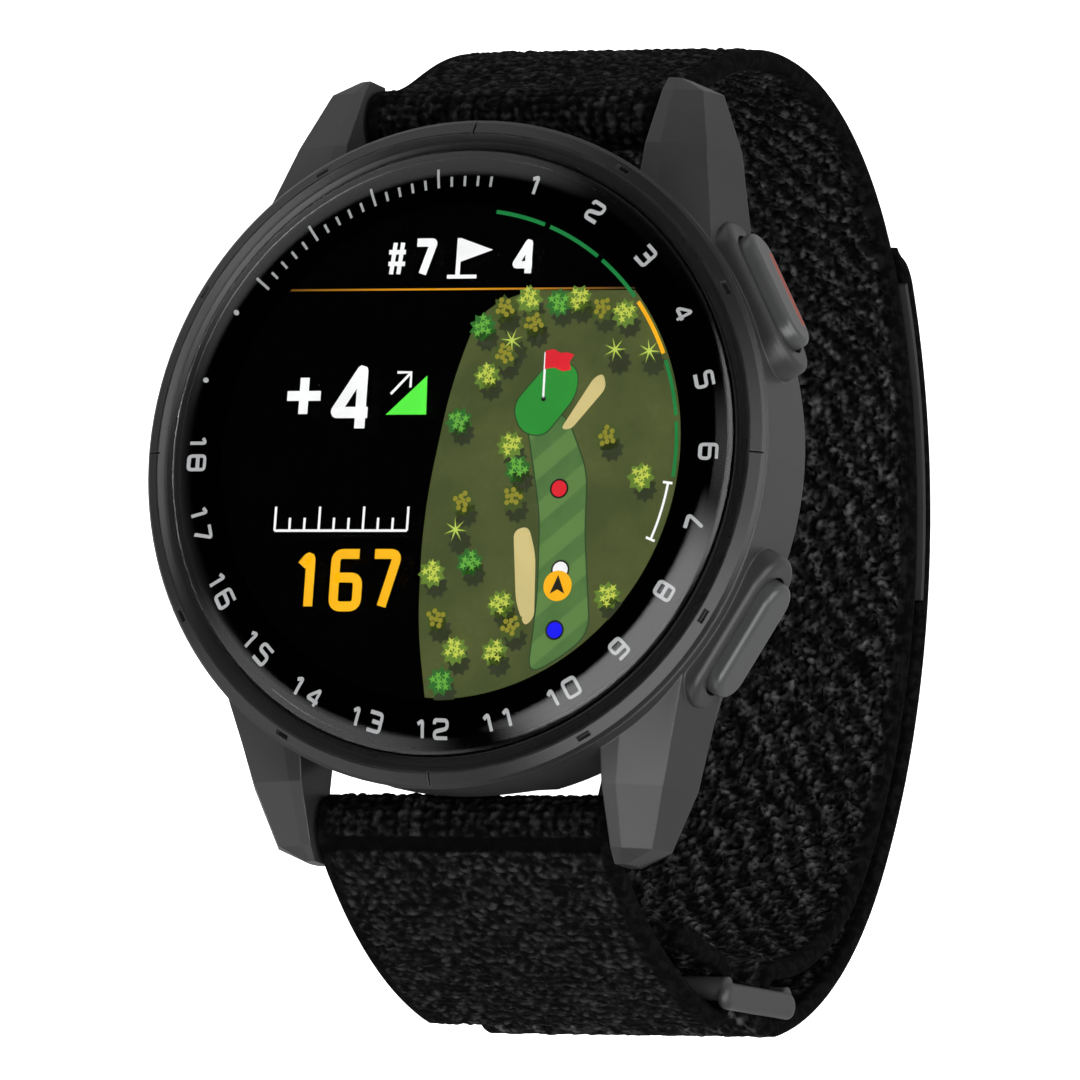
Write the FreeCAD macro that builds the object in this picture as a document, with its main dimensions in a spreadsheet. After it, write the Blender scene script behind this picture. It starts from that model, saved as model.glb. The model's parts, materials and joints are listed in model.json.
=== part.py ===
import FreeCAD, Part
import math
import os
import Sketcher

# A round golf watch on a woven strap, with its inner parts, in millimetres.
# The frame's origin is the centre of the flat face of the case back.
# +Z leaves the display, +Y points at 12 o'clock and +X at 3 o'clock.

DRIVING_SIZES = {
    # Housing, bezel and glass.
    "case_radius": 20.6,
    "case_wall": 2.4,
    "case_chamfer": 1.4,
    "ledge_width": 3.8,
    "bezel_overhang": 0.3,
    "bezel_width": 1.9,
    "bezel_crest_inset": 0.9,
    "bezel_gap": 0.15,
    "mask_width": 3.5,
    "case_foot": 1.8,
    "case_flank": 3.2,
    "case_top": 9.6,
    "case_rim_step": 0.3,
    "ledge_top": 3.0,
    "bezel_crest": 10.5,
    "glass_bottom": 10.0,
    "glass_top": 11.5,
    "glass_slope": 1.6,
    "mask_depth": 0.1,
    "adhesive_width": 0.7,
    # Lugs.
    "lug_gap": 20.3,
    "bar_reach": 22.2,
    "bar_level": 3.2,
    "lug_tip": 24.6,
    "lug_hole_depth": 1.3,
    # Display, frame, board and battery.
    "display_margin": 1.6,
    "board_margin": 1.4,
    "display_bottom": 8.4,
    "frame_depth": 0.8,
    "antenna_width": 0.9,
    "antenna_height": 0.9,
    "board_depth": 0.7,
    "chip_height": 0.8,
    "battery_length": 21.0,
    "battery_depth": 2.9,
    "flex_depth": 0.2,
    "screw_radius": 0.5,
    # Rear cover and sensor.
    "cover_margin": 0.7,
    "cover_top": 2.4,
    "island_radius": 11.0,
    "seal_radius": 14.7,
    "seal_width": 0.5,
    "window_radius": 7.0,
    "window_depth": 1.2,
    "sensor_board_radius": 7.8,
    "sensor_board_depth": 0.6,
    "sensor_room": 0.7,
    "port_length": 6.8,
    "port_width": 2.6,
    "port_reach": 12.7,
    # Vibration motor.
    "motor_gap": 0.1,
    "motor_length": 7.0,
    "motor_reach": 14.2,
    "motor_wall": 0.2,
    # Buttons.
    "upper_button_bearing": 60.5,
    "lower_button_bearing": 120.0,
    "button_level": 6.0,
    "button_length": 8.0,
    "button_width": 3.0,
    "button_travel": 0.6,
    "button_rise": 1.8,
    "button_sink": 0.3,
    "guard_rise": 0.9,
    "recess_depth": 1.1,
    "guard_margin": 1.4,
    "stem_radius": 0.8,
    "running_gap": 0.05,
    "button_gap": 0.2,
    # Spring bars.
    "bar_radius": 0.9,
    "bar_bore": 0.5,
    "bar_end_gap": 0.55,
    "pin_radius": 0.42,
    "pin_reach": 11.2,
    "release_travel": 1.25,
    "lever_radius": 0.45,
    # Strap and loop.
    "strap_width": 20.0,
    "strap_depth": 1.2,
    "roll_radius": 1.95,
    "back_bend_radius": 24.0,
    "back_bend_centre": 5.6,
    "back_bend_level": -14.35,
    "back_bend_start": 43.0,
    "back_bend_end": -56.0,
    "bottom_bend_radius": 36.2,
    "bottom_bend_end": -118.5,
    "loop_bend_radius": 18.4,
    "loop_bend_end": -172.2,
    "tail_stand_off": 1.0,
    "tail_end": -51.5,
    "tail_start_gap": 0.8,
    "patch_depth": 0.4,
    "patch_length": 32.0,
    "lower_bend_radius": 32.5,
    "lower_bend_level": -17.5,
    "lower_bend_start": 139.0,
    "lower_bend_end": 172.0,
    "loop_bar_radius": 0.75,
    "loop_bar_gap": 0.45,
    "loop_side_gap": 0.1,
    "loop_leg_radius": 0.85,
    "loop_leg_width": 0.85,
    "loop_leg_offset": 0.45,
}

UPRIGHT = "rotation(vector(0; 0; 1); 0)"
ACROSS = "rotation(vector(1; 1; 1); 120)"
ALONG_Y = "rotation(vector(1; 0; 0); -90)"


class Size:
    """A number together with the spreadsheet expression that gives it."""

    def __init__(self, number, text):
        self.number = float(number)
        self.text = text

    def joined(self, other, sign, number):
        return Size(number, f"({self.text} {sign} {other.text})")

    def __add__(self, other):
        other = as_size(other)
        return self.joined(other, "+", self.number + other.number)

    def __sub__(self, other):
        other = as_size(other)
        return self.joined(other, "-", self.number - other.number)

    def __mul__(self, other):
        other = as_size(other)
        return self.joined(other, "*", self.number * other.number)

    def __truediv__(self, other):
        other = as_size(other)
        return self.joined(other, "/", self.number / other.number)

    def __neg__(self):
        return as_size(0) - self

    def __radd__(self, other):
        return as_size(other) + self

    def __rsub__(self, other):
        return as_size(other) - self

    def __rmul__(self, other):
        return as_size(other) * self


def as_size(amount):
    if isinstance(amount, Size):
        return amount
    return Size(amount, f"({amount})" if amount < 0 else str(amount))


def cosine(angle):
    angle = as_size(angle)
    return Size(math.cos(math.radians(angle.number)), f"cos({angle.text} * 1deg)")


def sine(angle):
    angle = as_size(angle)
    return Size(math.sin(math.radians(angle.number)), f"sin({angle.text} * 1deg)")


def bearing_of(up, along):
    """The angle in degrees whose tangent is up over along, where along is negative."""
    ratio = as_size(up) / along
    return Size(math.degrees(math.atan(ratio.number)) - 180, f"(atan({ratio.text}) / 1deg - 180)")


class Sizes:
    """The driving sizes, named after their cells, and the sizes that follow from them."""


doc = FreeCAD.newDocument("golf_watch")
sheet = doc.addObject("Spreadsheet::Sheet", "Sizes")
size = Sizes()
for row, (alias, value) in enumerate(DRIVING_SIZES.items(), start=1):
    sheet.set(f"A{row}", alias.replace("_", " "))
    sheet.set(f"B{row}", str(value))
    sheet.setAlias(f"B{row}", alias)
    setattr(size, alias, Size(value, f"Sizes.{alias}"))
doc.recompute()

size.case_foot_radius = size.case_radius - size.case_chamfer
size.cavity_radius = size.case_radius - size.case_wall
size.ledge_radius = size.cavity_radius - size.ledge_width
size.cover_radius = size.cavity_radius - size.cover_margin
size.frame_radius = size.cavity_radius - 2 * size.running_gap
size.board_radius = size.cavity_radius - size.board_margin
size.display_radius = size.cavity_radius - size.display_margin
size.bezel_radius = size.case_radius + size.bezel_overhang
size.bezel_crest_radius = size.bezel_radius - size.bezel_crest_inset
size.glass_radius = size.bezel_radius - size.bezel_width
size.bezel_inner = size.glass_radius + size.bezel_gap
size.view_radius = size.glass_radius - size.mask_width
size.button_face = size.case_radius + size.button_rise
size.button_foot = size.case_radius - size.button_sink
size.guard_face = size.case_radius + size.guard_rise
size.recess_floor = size.case_radius - size.recess_depth
board_top = size.display_bottom - size.frame_depth
board_bottom = board_top - size.board_depth
size.motor_radius = (board_bottom - size.ledge_top - size.motor_gap) / 2

NODES = {}


def node(item, name):
    """Names a finished sub-part, which is then written to its own file."""
    item.Label = name
    NODES[name] = item
    return item


def bind(item, path, amount):
    item.setExpression(path, as_size(amount).text)


def place(item, x=0, y=0, z=0, turn=UPRIGHT):
    where = "; ".join(as_size(amount).text for amount in (x, y, z))
    item.setExpression("Placement", f"placement(vector({where}); {turn})")
    return item


def cylinder(name, radius, height, x=0, y=0, z=0, turn=UPRIGHT, angle=360):
    item = doc.addObject("Part::Cylinder", name)
    bind(item, "Radius", radius)
    bind(item, "Height", height)
    bind(item, "Angle", angle)
    return place(item, x, y, z, turn)


def block(name, length, width, height, x=0, y=0, z=0, turn=UPRIGHT):
    """A box whose foot is centred on x and y, with its lowest face at z."""
    item = doc.addObject("Part::Box", name)
    bind(item, "Length", length)
    bind(item, "Width", width)
    bind(item, "Height", height)
    return place(item, x - as_size(length) / 2, y - as_size(width) / 2, z, turn)


def fuse(name, pieces):
    item = doc.addObject("Part::MultiFuse", name)
    item.Shapes = list(pieces)
    item.Refine = True
    return item


def cut(name, base, tools):
    item = doc.addObject("Part::Cut", name)
    item.Base = base
    item.Tool = tools[0] if len(tools) == 1 else fuse(name + "_cutters", tools)
    item.Refine = True
    return item


def group(name, pieces):
    """Identical loose pieces kept together in one node."""
    item = doc.addObject("Part::Compound", name)
    item.Links = list(pieces)
    return item


def tube(name, radius, bore, height, x=0, y=0, z=0, turn=UPRIGHT, angle=360):
    outside = cylinder(name + "_outside", radius, height, x, y, z, turn, angle)
    inside = cylinder(name + "_inside", bore, height, x, y, z, turn, angle)
    return cut(name, outside, [inside])


def new_sketch(body, name, plane):
    sketch = body.newObject("Sketcher::SketchObject", name)
    planes = {feature.Role: feature for feature in body.Origin.OriginFeatures}
    sketch.AttachmentSupport = (planes[plane], "")
    sketch.MapMode = "FlatFace"
    return sketch


def fix_point(sketch, line, along, up):
    """Holds a line's first point at its distances from the sketch's origin."""
    for kind, amount, axis in (("DistanceX", along, -2), ("DistanceY", up, -1)):
        amount = as_size(amount)
        if amount.number == 0:
            sketch.addConstraint(Sketcher.Constraint("PointOnObject", line, 1, axis))
            continue
        index = sketch.addConstraint(Sketcher.Constraint(kind, -1, 1, line, 1, amount.number))
        sketch.setExpression(f"Constraints[{index}]", amount.text)


def draw_outline(sketch, outline):
    """A closed polygon whose corners are bound to the sizes."""
    corners = [FreeCAD.Vector(as_size(a).number, as_size(b).number, 0) for a, b in outline]
    count = len(corners)
    lines = [Part.LineSegment(corners[i], corners[(i + 1) % count]) for i in range(count)]
    sketch.addGeometry(lines, False)
    for i in range(count):
        sketch.addConstraint(Sketcher.Constraint("Coincident", i, 2, (i + 1) % count, 1))
    for i, (along, up) in enumerate(outline):
        fix_point(sketch, i, along, up)


def turned(name, outline, x=0, y=0, z=0, turn=UPRIGHT):
    """A piece turned about its own Z axis from points of radius and height."""
    body = doc.addObject("PartDesign::Body", name)
    profile = new_sketch(body, name + "_profile", "XZ_Plane")
    draw_outline(profile, outline)
    spin = body.newObject("PartDesign::Revolution", name + "_turning")
    spin.Profile = profile
    spin.ReferenceAxis = (profile, ["V_Axis"])
    spin.Angle = 360
    return place(body, x, y, z, turn)


def draw_stadium(sketch, length, width):
    """Two half circles joined by straight sides, centred on the sketch's origin."""
    half = (as_size(length) - width) / 2
    radius = as_size(width) / 2
    up = FreeCAD.Vector(0, 0, 1)
    middle = FreeCAD.Vector(half.number, 0, 0)
    right = Part.Circle(middle, up, radius.number)
    left = Part.Circle(-middle, up, radius.number)
    rise = FreeCAD.Vector(0, radius.number, 0)
    sketch.addGeometry([
        Part.ArcOfCircle(right, -math.pi / 2, math.pi / 2),
        Part.LineSegment(middle + rise, -middle + rise),
        Part.ArcOfCircle(left, math.pi / 2, 3 * math.pi / 2),
        Part.LineSegment(-middle - rise, middle - rise),
    ], False)
    for first, second in ((0, 1), (1, 2), (2, 3), (3, 0)):
        sketch.addConstraint(Sketcher.Constraint("Tangent", first, 2, second, 1))
    for arc, along in ((0, half), (2, -half)):
        sketch.addConstraint(Sketcher.Constraint("PointOnObject", arc, 3, -1))
        index = sketch.addConstraint(Sketcher.Constraint("DistanceX", -1, 1, arc, 3, along.number))
        sketch.setExpression(f"Constraints[{index}]", along.text)
    index = sketch.addConstraint(Sketcher.Constraint("Radius", 0, radius.number))
    sketch.setExpression(f"Constraints[{index}]", radius.text)


def stadium(name, length, width, bottom, top, turn=UPRIGHT, z=0, rounding=None):
    """A stadium-shaped block between two heights of its own frame."""
    body = doc.addObject("PartDesign::Body", name)
    profile = new_sketch(body, name + "_outline", "XY_Plane")
    bind(profile, "AttachmentOffset.Base.z", bottom)
    draw_stadium(profile, length, width)
    pad = body.newObject("PartDesign::Pad", name + "_pad")
    pad.Profile = profile
    bind(pad, "Length", as_size(top) - bottom)
    if rounding is not None:
        doc.recompute()
        round_edges(body, pad, rounding, lambda edge: edge.BoundBox.ZMin > pad.Shape.BoundBox.ZMax - 0.001)
    return place(body, 0, 0, z, turn)


def round_edges(body, feature, radius, chosen):
    """Rounds the edges of a body's last feature that the test picks."""
    names = [f"Edge{i}" for i, edge in enumerate(feature.Shape.Edges, start=1) if chosen(edge)]
    fillet = body.newObject("PartDesign::Fillet", feature.Name + "_rounding")
    fillet.Base = (feature, names)
    bind(fillet, "Radius", radius)
    return fillet


def coil(name, radius, wire_radius, length, turns, x=0, y=0, z=0, turn=UPRIGHT):
    """A helical spring that starts at its own origin and runs along its own Z axis."""
    helix = doc.addObject("Part::Helix", name + "_line")
    bind(helix, "Radius", radius)
    bind(helix, "Height", length)
    bind(helix, "Pitch", as_size(length) / turns)
    wire = doc.addObject("Part::Circle", name + "_wire")
    bind(wire, "Radius", wire_radius)
    place(wire, radius, 0, 0, "rotation(vector(1; 0; 0); 90)")
    item = doc.addObject("Part::Sweep", name)
    item.Sections = [wire]
    item.Spine = (helix, [])
    item.Solid = True
    item.Frenet = True
    return place(item, x, y, z, turn)


def spun(angle, about=UPRIGHT):
    """A turn about Z by an angle, followed by another turn."""
    return f"{about} * rotation(vector(0; 0; 1); {as_size(angle).text})"


# Strap path: tangent bends seen from 3 o'clock, as centres in Y and Z.

class Bend:
    """One circular bend of the strap path, measured to the fabric's outer face."""

    def __init__(self, centre_y, centre_z, radius, start, end):
        self.centre_y = as_size(centre_y)
        self.centre_z = as_size(centre_z)
        self.radius = as_size(radius)
        self.start = as_size(start)
        self.end = as_size(end)

    def following(self, radius, end, offset=0):
        """The next bend, tangent to this one after it is offset outwards."""
        shift = self.radius + offset - radius
        centre_y = self.centre_y + shift * cosine(self.end)
        centre_z = self.centre_z + shift * sine(self.end)
        return Bend(centre_y, centre_z, radius, self.end, end)

    def layer(self, name, outer, inner):
        """A slice of fabric between two offsets from the outer face."""
        across = size.strap_width
        turn = spun(self.end, ACROSS)
        place_at = (-(across / 2), self.centre_y, self.centre_z, turn, self.start - self.end)
        return tube(name, self.radius + outer, self.radius + inner, across, *place_at)


back_bend = Bend(size.back_bend_centre, size.back_bend_level, size.back_bend_radius,
                 size.back_bend_start, size.back_bend_end)
bottom_bend = back_bend.following(size.bottom_bend_radius, size.bottom_bend_end)
loop_bend = bottom_bend.following(size.loop_bend_radius, size.loop_bend_end)

fold_inner = size.loop_bar_radius + size.loop_bar_gap
fold_outer = fold_inner + size.strap_depth
upper_loop_y = loop_bend.centre_y + (loop_bend.radius + fold_inner) * cosine(size.loop_bend_end)
upper_loop_z = loop_bend.centre_z + (loop_bend.radius + fold_inner) * sine(size.loop_bend_end)

tail_offset = size.tail_stand_off + size.strap_depth
join_y = bottom_bend.centre_y + (bottom_bend.radius + tail_offset) * cosine(size.bottom_bend_end)
join_z = bottom_bend.centre_z + (bottom_bend.radius + tail_offset) * sine(size.bottom_bend_end)
to_loop_y = upper_loop_y - join_y
to_loop_z = upper_loop_z - join_z
to_loop_squared = to_loop_y * to_loop_y + to_loop_z * to_loop_z
to_loop_along = to_loop_y * cosine(size.bottom_bend_end) + to_loop_z * sine(size.bottom_bend_end)
tail_radius = (fold_outer * fold_outer - to_loop_squared) / (2 * (to_loop_along + fold_outer))
tail_centre_y = join_y - tail_radius * cosine(size.bottom_bend_end)
tail_centre_z = join_z - tail_radius * sine(size.bottom_bend_end)
fold_end = bearing_of(upper_loop_z - tail_centre_z, upper_loop_y - tail_centre_y)
tail_start = fold_end + size.tail_start_gap

lower_bend = Bend(0, size.lower_bend_level, size.lower_bend_radius,
                  size.lower_bend_end, size.lower_bend_start)
lower_loop_y = (lower_bend.radius - fold_outer) * cosine(size.lower_bend_end)
lower_loop_z = lower_bend.centre_z + (lower_bend.radius - fold_outer) * sine(size.lower_bend_end)


# Housing.

def lug_section(body, name, reach, points):
    sketch = new_sketch(body, name, "XZ_Plane")
    bind(sketch, "AttachmentOffset.Base.z", -as_size(reach))
    draw_outline(sketch, points)
    return sketch


def lug():
    """The lug at 1 o'clock, lofted through four faceted sections."""
    inner = size.lug_gap / 2
    level = size.bar_level
    body = doc.addObject("PartDesign::Body", "lug")
    root = lug_section(body, "lug_root", size.lug_tip - 11.6, [
        (inner, level - 1.0), (inner, level + 5.7), (inner + 1.85, level + 5.7), (inner + 5.6, level + 5.3),
        (inner + 6.9, level + 1.8), (inner + 5.9, level - 0.8)])
    waist = lug_section(body, "lug_waist", size.lug_tip - 4.6, [
        (inner, level - 0.4), (inner, level + 3.9), (inner + 0.9, level + 3.75),
        (inner + 3.7, level + 2.9), (inner + 4.9, level + 0.2), (inner + 4.1, level - 0.7)])
    shoulder = lug_section(body, "lug_shoulder", size.lug_tip - 0.9, [
        (inner, level - 1.4), (inner, level + 1.9), (inner + 0.7, level + 1.8),
        (inner + 2.5, level + 1.2), (inner + 3.2, level - 0.3), (inner + 2.5, level - 1.4)])
    tip = lug_section(body, "lug_end", size.lug_tip, [
        (inner, level - 1.1), (inner, level + 1.1), (inner + 0.3, level + 1.05),
        (inner + 0.8, level + 0.8), (inner + 1.0, level - 0.3), (inner + 0.8, level - 1.1)])
    loft = body.newObject("PartDesign::AdditiveLoft", "lug_loft")
    loft.Profile = root
    loft.Sections = [waist, shoulder, tip]
    loft.Ruled = True
    return body


def mirrored(name, source, x, y):
    item = doc.addObject("Part::Mirroring", name)
    item.Source = source
    item.Normal = FreeCAD.Vector(x, y, 0)
    return item


def button_turn(bearing):
    """The turn into a button's frame, whose Z axis points out of the case."""
    return f"rotation(vector(0; 0; 1); {(-as_size(bearing)).text}) * rotation(vector(0; 1; 1); 180)"


def radial(bearing, reach):
    """The X and Y of a point at a clock bearing and a distance from the centre."""
    return as_size(reach) * sine(bearing), as_size(reach) * cosine(bearing)


BUTTON_BEARINGS = {"upper_button": size.upper_button_bearing, "lower_button": size.lower_button_bearing}
COVER_SCREW_BEARINGS = (20, 160, 200, 340)
COVER_SCREW_REACH = 16.6


def case_ring():
    return turned("case_ring", [
        (size.cover_radius + size.running_gap, size.case_foot),
        (size.case_foot_radius, size.case_foot),
        (size.case_radius, size.case_flank),
        (size.case_radius, size.case_top - 0.7),
        (size.case_radius - size.case_rim_step, size.case_top - 0.45),
        (size.case_radius - size.case_rim_step, size.case_top),
        (size.cavity_radius, size.case_top),
        (size.cavity_radius, size.ledge_top),
        (size.ledge_radius, size.ledge_top),
        (size.ledge_radius, size.cover_top),
        (size.cover_radius + size.running_gap, size.cover_top),
    ])


def main_case():
    right_upper = lug()
    lugs = [
        right_upper,
        mirrored("lug_left", right_upper, 1, 0),
        mirrored("lug_low", right_upper, 0, 1),
    ]
    lugs.append(mirrored("lug_low_left", lugs[1], 0, 1))
    guards = []
    openings = []
    for name, bearing in BUTTON_BEARINGS.items():
        turn = button_turn(bearing)
        margin = 2 * size.guard_margin
        guards.append(stadium(name + "_guard", size.button_length + margin, size.button_width + margin / 2,
                              size.cavity_radius + 1, size.guard_face, turn, size.button_level, 0.5))
        openings.append(stadium(name + "_recess", size.button_length + 2 * size.button_gap,
                                size.button_width + 2 * size.button_gap, size.recess_floor,
                                size.guard_face + 1, turn, size.button_level))
        x, y = radial(bearing, size.ledge_radius)
        bore = size.stem_radius + size.running_gap
        openings.append(cylinder(name + "_bore", bore, size.guard_face - size.ledge_radius,
                                 x, y, size.button_level, turn))
    posts = []
    threads = []
    for bearing in COVER_SCREW_BEARINGS:
        x, y = radial(bearing, COVER_SCREW_REACH)
        posts.append(cylinder("screw_post", 1.7, size.ledge_top - size.cover_top + 1.6, x, y, size.cover_top))
        threads.append(cylinder("screw_thread", size.screw_radius, 1.8, x, y, size.cover_top))
    cavity = cylinder("cavity", size.cavity_radius, size.case_top, z=size.ledge_top)
    under = cylinder("cover_room", size.cover_radius + size.running_gap, size.cover_top)
    inside = cylinder("inside_clearance", size.ledge_radius, size.case_top)
    solid_ring = fuse("case_with_lugs", [case_ring()] + lugs + guards)
    hollow = cut("case_hollow", solid_ring, [cavity, under, inside] + openings)
    whole = fuse("case_with_posts", [hollow] + posts)
    scoops = []
    for side in (1, -1):
        y = side * size.bar_reach
        scoops.append(cylinder("strap_scoop", size.roll_radius + 0.4, size.lug_gap,
                               -(size.lug_gap / 2), y, size.bar_level, ACROSS))
        hole_length = size.lug_gap + 2 * size.lug_hole_depth
        scoops.append(cylinder("lug_holes", size.pin_radius + size.running_gap, hole_length,
                               -(hole_length / 2), y, size.bar_level, ACROSS))
    node(cut("main_case", whole, scoops + threads), "main_case")


def polar_pattern(body, feature, name, count):
    pattern = body.newObject("PartDesign::PolarPattern", name)
    pattern.Originals = [feature]
    axes = {item.Role: item for item in body.Origin.OriginFeatures}
    pattern.Axis = (axes["Z_Axis"], [""])
    pattern.Angle = 360
    pattern.Occurrences = count
    body.Tip = pattern
    return pattern


def bezel_marks(body, name, corners, depth):
    """A pocket sunk into the bezel's face from above, repeated at every quarter."""
    sketch = new_sketch(body, name + "_outline", "XY_Plane")
    bind(sketch, "AttachmentOffset.Base.z", size.bezel_crest)
    draw_outline(sketch, corners)
    pocket = body.newObject("PartDesign::Pocket", name)
    pocket.Profile = sketch
    bind(pocket, "Length", depth)
    doc.recompute()
    return polar_pattern(body, pocket, name + "_quarters", 4)


def tangential_slot(bearing, reach, length, width):
    """The corners of a small slot that lies along the bezel's circle."""
    corners = []
    for along, out in ((-1, -1), (1, -1), (1, 1), (-1, 1)):
        distance = as_size(reach) + out * width / 2
        offset = along * length / 2
        x = distance * sine(bearing) + offset * cosine(bearing)
        y = distance * cosine(bearing) - offset * sine(bearing)
        corners.append((x, y))
    return corners


def front_bezel():
    body = turned("bezel", [
        (size.bezel_inner, size.case_top),
        (size.bezel_radius - 0.2, size.case_top),
        (size.bezel_radius, size.case_top + 0.2),
        (size.bezel_radius, size.bezel_crest - 0.65),
        (size.bezel_radius - 0.2, size.bezel_crest - 0.4),
        (size.bezel_crest_radius + 0.05, size.bezel_crest),
        (size.bezel_crest_radius - 0.05, size.bezel_crest),
        (size.bezel_crest_radius - 0.5, size.bezel_crest - 0.4),
        (size.bezel_inner, size.bezel_crest - 0.55),
    ])
    slot_reach = size.bezel_crest_radius + 0.35
    for name, bearing in (("slot_low", 30), ("slot_high", 60)):
        bezel_marks(body, name, tangential_slot(bearing, slot_reach, 0.9, 0.28), 0.45)
    tick_reach = (size.bezel_crest_radius + size.bezel_radius) / 2
    bezel_marks(body, "tick", tangential_slot(0, tick_reach, 0.12, 1.1), 0.5)
    node(body, "front_bezel")


def lens_glass():
    edge = size.glass_radius - size.glass_slope
    body = turned("glass", [
        (0, size.glass_bottom),
        (size.glass_radius - 0.3, size.glass_bottom),
        (size.glass_radius, size.glass_bottom + 0.3),
        (size.glass_radius, size.glass_top - 0.9),
        (edge, size.glass_top),
        (0, size.glass_top),
    ])
    doc.recompute()
    turning = body.Tip
    top = size.glass_top.number
    first = round_edges(body, turning, 2.5, lambda rim: rim.BoundBox.ZMin > top - 0.01)
    doc.recompute()
    round_edges(body, first, 0.5, lambda rim: abs(rim.BoundBox.ZMin - (top - 0.9)) < 0.01
                and rim.BoundBox.ZLength < 0.01)
    node(body, "lens_glass")


def lens_layers():
    mask_bottom = size.glass_bottom - size.mask_depth
    node(tube("lens_mask", size.cavity_radius, size.view_radius, size.mask_depth, z=mask_bottom), "lens_mask")
    inner = size.glass_radius - size.adhesive_width
    outer = size.glass_radius - 0.05
    height = size.glass_bottom - size.case_top
    node(tube("lens_adhesive", outer, inner, height, z=size.case_top), "lens_adhesive")


# Display, frame and board.

FLEX_WIDTH = 6.0
BOARD_SCREW_BEARINGS = (100, 225, 320)
BOARD_SCREW_REACH = 14.6


def display_stack():
    mask_bottom = size.glass_bottom - size.mask_depth
    node(cylinder("display_panel", size.display_radius, mask_bottom - size.display_bottom,
                  z=size.display_bottom), "display_panel")
    outer = size.frame_radius - 0.1
    ring = tube("antenna_circle", outer, outer - size.antenna_width, size.antenna_height,
                z=size.display_bottom)
    gap = block("antenna_gap", 3, 4, size.antenna_height, 0, -(outer - 0.5), size.display_bottom)
    node(cut("antenna_ring", ring, [gap]), "antenna_ring")


def flex_room(name, depth, z):
    """The notch at 12 o'clock that lets the display's ribbon through."""
    return block(name, FLEX_WIDTH + 0.6, 4, depth, 0, size.board_radius + 0.6, z)


def mid_frame():
    disc = cylinder("frame_disc", size.frame_radius, size.frame_depth, z=board_top)
    cuts = [flex_room("frame_notch", size.frame_depth, board_top)]
    for bearing in BOARD_SCREW_BEARINGS:
        x, y = radial(bearing, BOARD_SCREW_REACH)
        cuts.append(cylinder("frame_thread", size.screw_radius, size.frame_depth, x, y, board_top))
    for x in (-6.5, 6.5):
        cuts.append(block("frame_window", 9, 12, size.frame_depth, x, 0, board_top))
    node(cut("mid_frame", disc, cuts), "mid_frame")


def main_board():
    disc = cylinder("board_disc", size.board_radius, size.board_depth, z=board_bottom)
    cuts = [flex_room("board_notch", size.board_depth, board_bottom)]
    screws = []
    for bearing in BOARD_SCREW_BEARINGS:
        x, y = radial(bearing, BOARD_SCREW_REACH)
        cuts.append(cylinder("board_hole", size.screw_radius + size.running_gap, size.board_depth,
                             x, y, board_bottom))
        head = cylinder("screw_head", 0.95, 0.5, x, y, board_bottom - 0.5)
        shank = cylinder("screw_shank", size.screw_radius, size.board_depth + size.frame_depth,
                         x, y, board_bottom)
        screws.append(fuse("board_screw", [head, shank]))
    node(cut("main_board", disc, cuts), "main_board")
    node(group("board_screws", screws), "board_screws")


CHIPS = {
    "processor": (7.0, 7.0, -4.5, 4.0),
    "memory_chip": (5.0, 4.0, 3.0, 6.5),
    "satellite_receiver": (4.0, 4.0, 5.5, -5.5),
    "power_chip": (3.6, 3.6, -8.0, -5.0),
}


def board_chips():
    bottom = board_bottom - size.chip_height
    for name, (length, width, x, y) in CHIPS.items():
        chip = block(name, length, width, size.chip_height, x, y, bottom)
        if name == "satellite_receiver":
            chip = shielded(chip, length, width, x, y)
        node(chip, name)


def shielded(chip, length, width, x, y):
    """Lowers a chip a little and sets an open tin over it."""
    bind(chip, "Height", size.chip_height - 0.3)
    place(chip, x - length / 2, y - width / 2, board_bottom - size.chip_height + 0.3)
    low = board_bottom - size.chip_height
    shell = block("shield_shell", length + 1.6, width + 1.6, size.chip_height, x, y, low)
    room = block("shield_room", length + 1.2, width + 1.2, size.chip_height - 0.2, x, y, low + 0.2)
    node(cut("shield_can", shell, [room]), "shield_can")
    return chip


def ribbons():
    thin = size.flex_depth
    connector_bottom = board_bottom - size.chip_height + thin
    edge = size.board_radius - 1.2
    upright_height = size.display_bottom - connector_bottom + thin
    foot_bottom = connector_bottom - thin
    upright = block("ribbon_upright", FLEX_WIDTH, thin, upright_height, 0, edge, foot_bottom)
    foot = block("ribbon_foot", FLEX_WIDTH, 2.4, thin, 0, edge - 1.2 + thin / 2, foot_bottom)
    node(fuse("display_ribbon", [upright, foot]), "display_ribbon")
    node(block("display_connector", FLEX_WIDTH, 1.4, board_bottom - connector_bottom, 0, edge - 1.3,
               connector_bottom), "display_connector")
    side = size.battery_length / 2
    node(block("battery_ribbon", thin, 4, board_bottom - size.ledge_top - 1, side + thin / 2, 0,
               size.ledge_top + 1), "battery_ribbon")
    low = sensor_board_top()
    reach = side + 2 * thin
    upright = block("sensor_upright", 4, thin, board_bottom - low, 0, -reach, low)
    run = block("sensor_run", 4, reach - 5, thin, 0, -((reach + 5) / 2), low)
    node(fuse("sensor_ribbon", [upright, run]), "sensor_ribbon")


def battery():
    body = doc.addObject("Part::Box", "battery_block")
    bind(body, "Length", size.battery_length)
    bind(body, "Width", size.battery_length)
    bind(body, "Height", size.battery_depth)
    place(body, -(size.battery_length / 2), -(size.battery_length / 2), size.ledge_top)
    rounded = doc.addObject("Part::Fillet", "battery")
    rounded.Base = body
    doc.recompute()
    uprights = [i for i, edge in enumerate(body.Shape.Edges, start=1) if edge.BoundBox.ZLength > 1]
    rounded.Edges = [(i, 0.3, 0.3) for i in uprights]
    node(rounded, "battery")


# Rear cover and its sensor.

def sensor_board_top():
    return size.window_depth + size.sensor_room + size.sensor_board_depth


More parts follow.
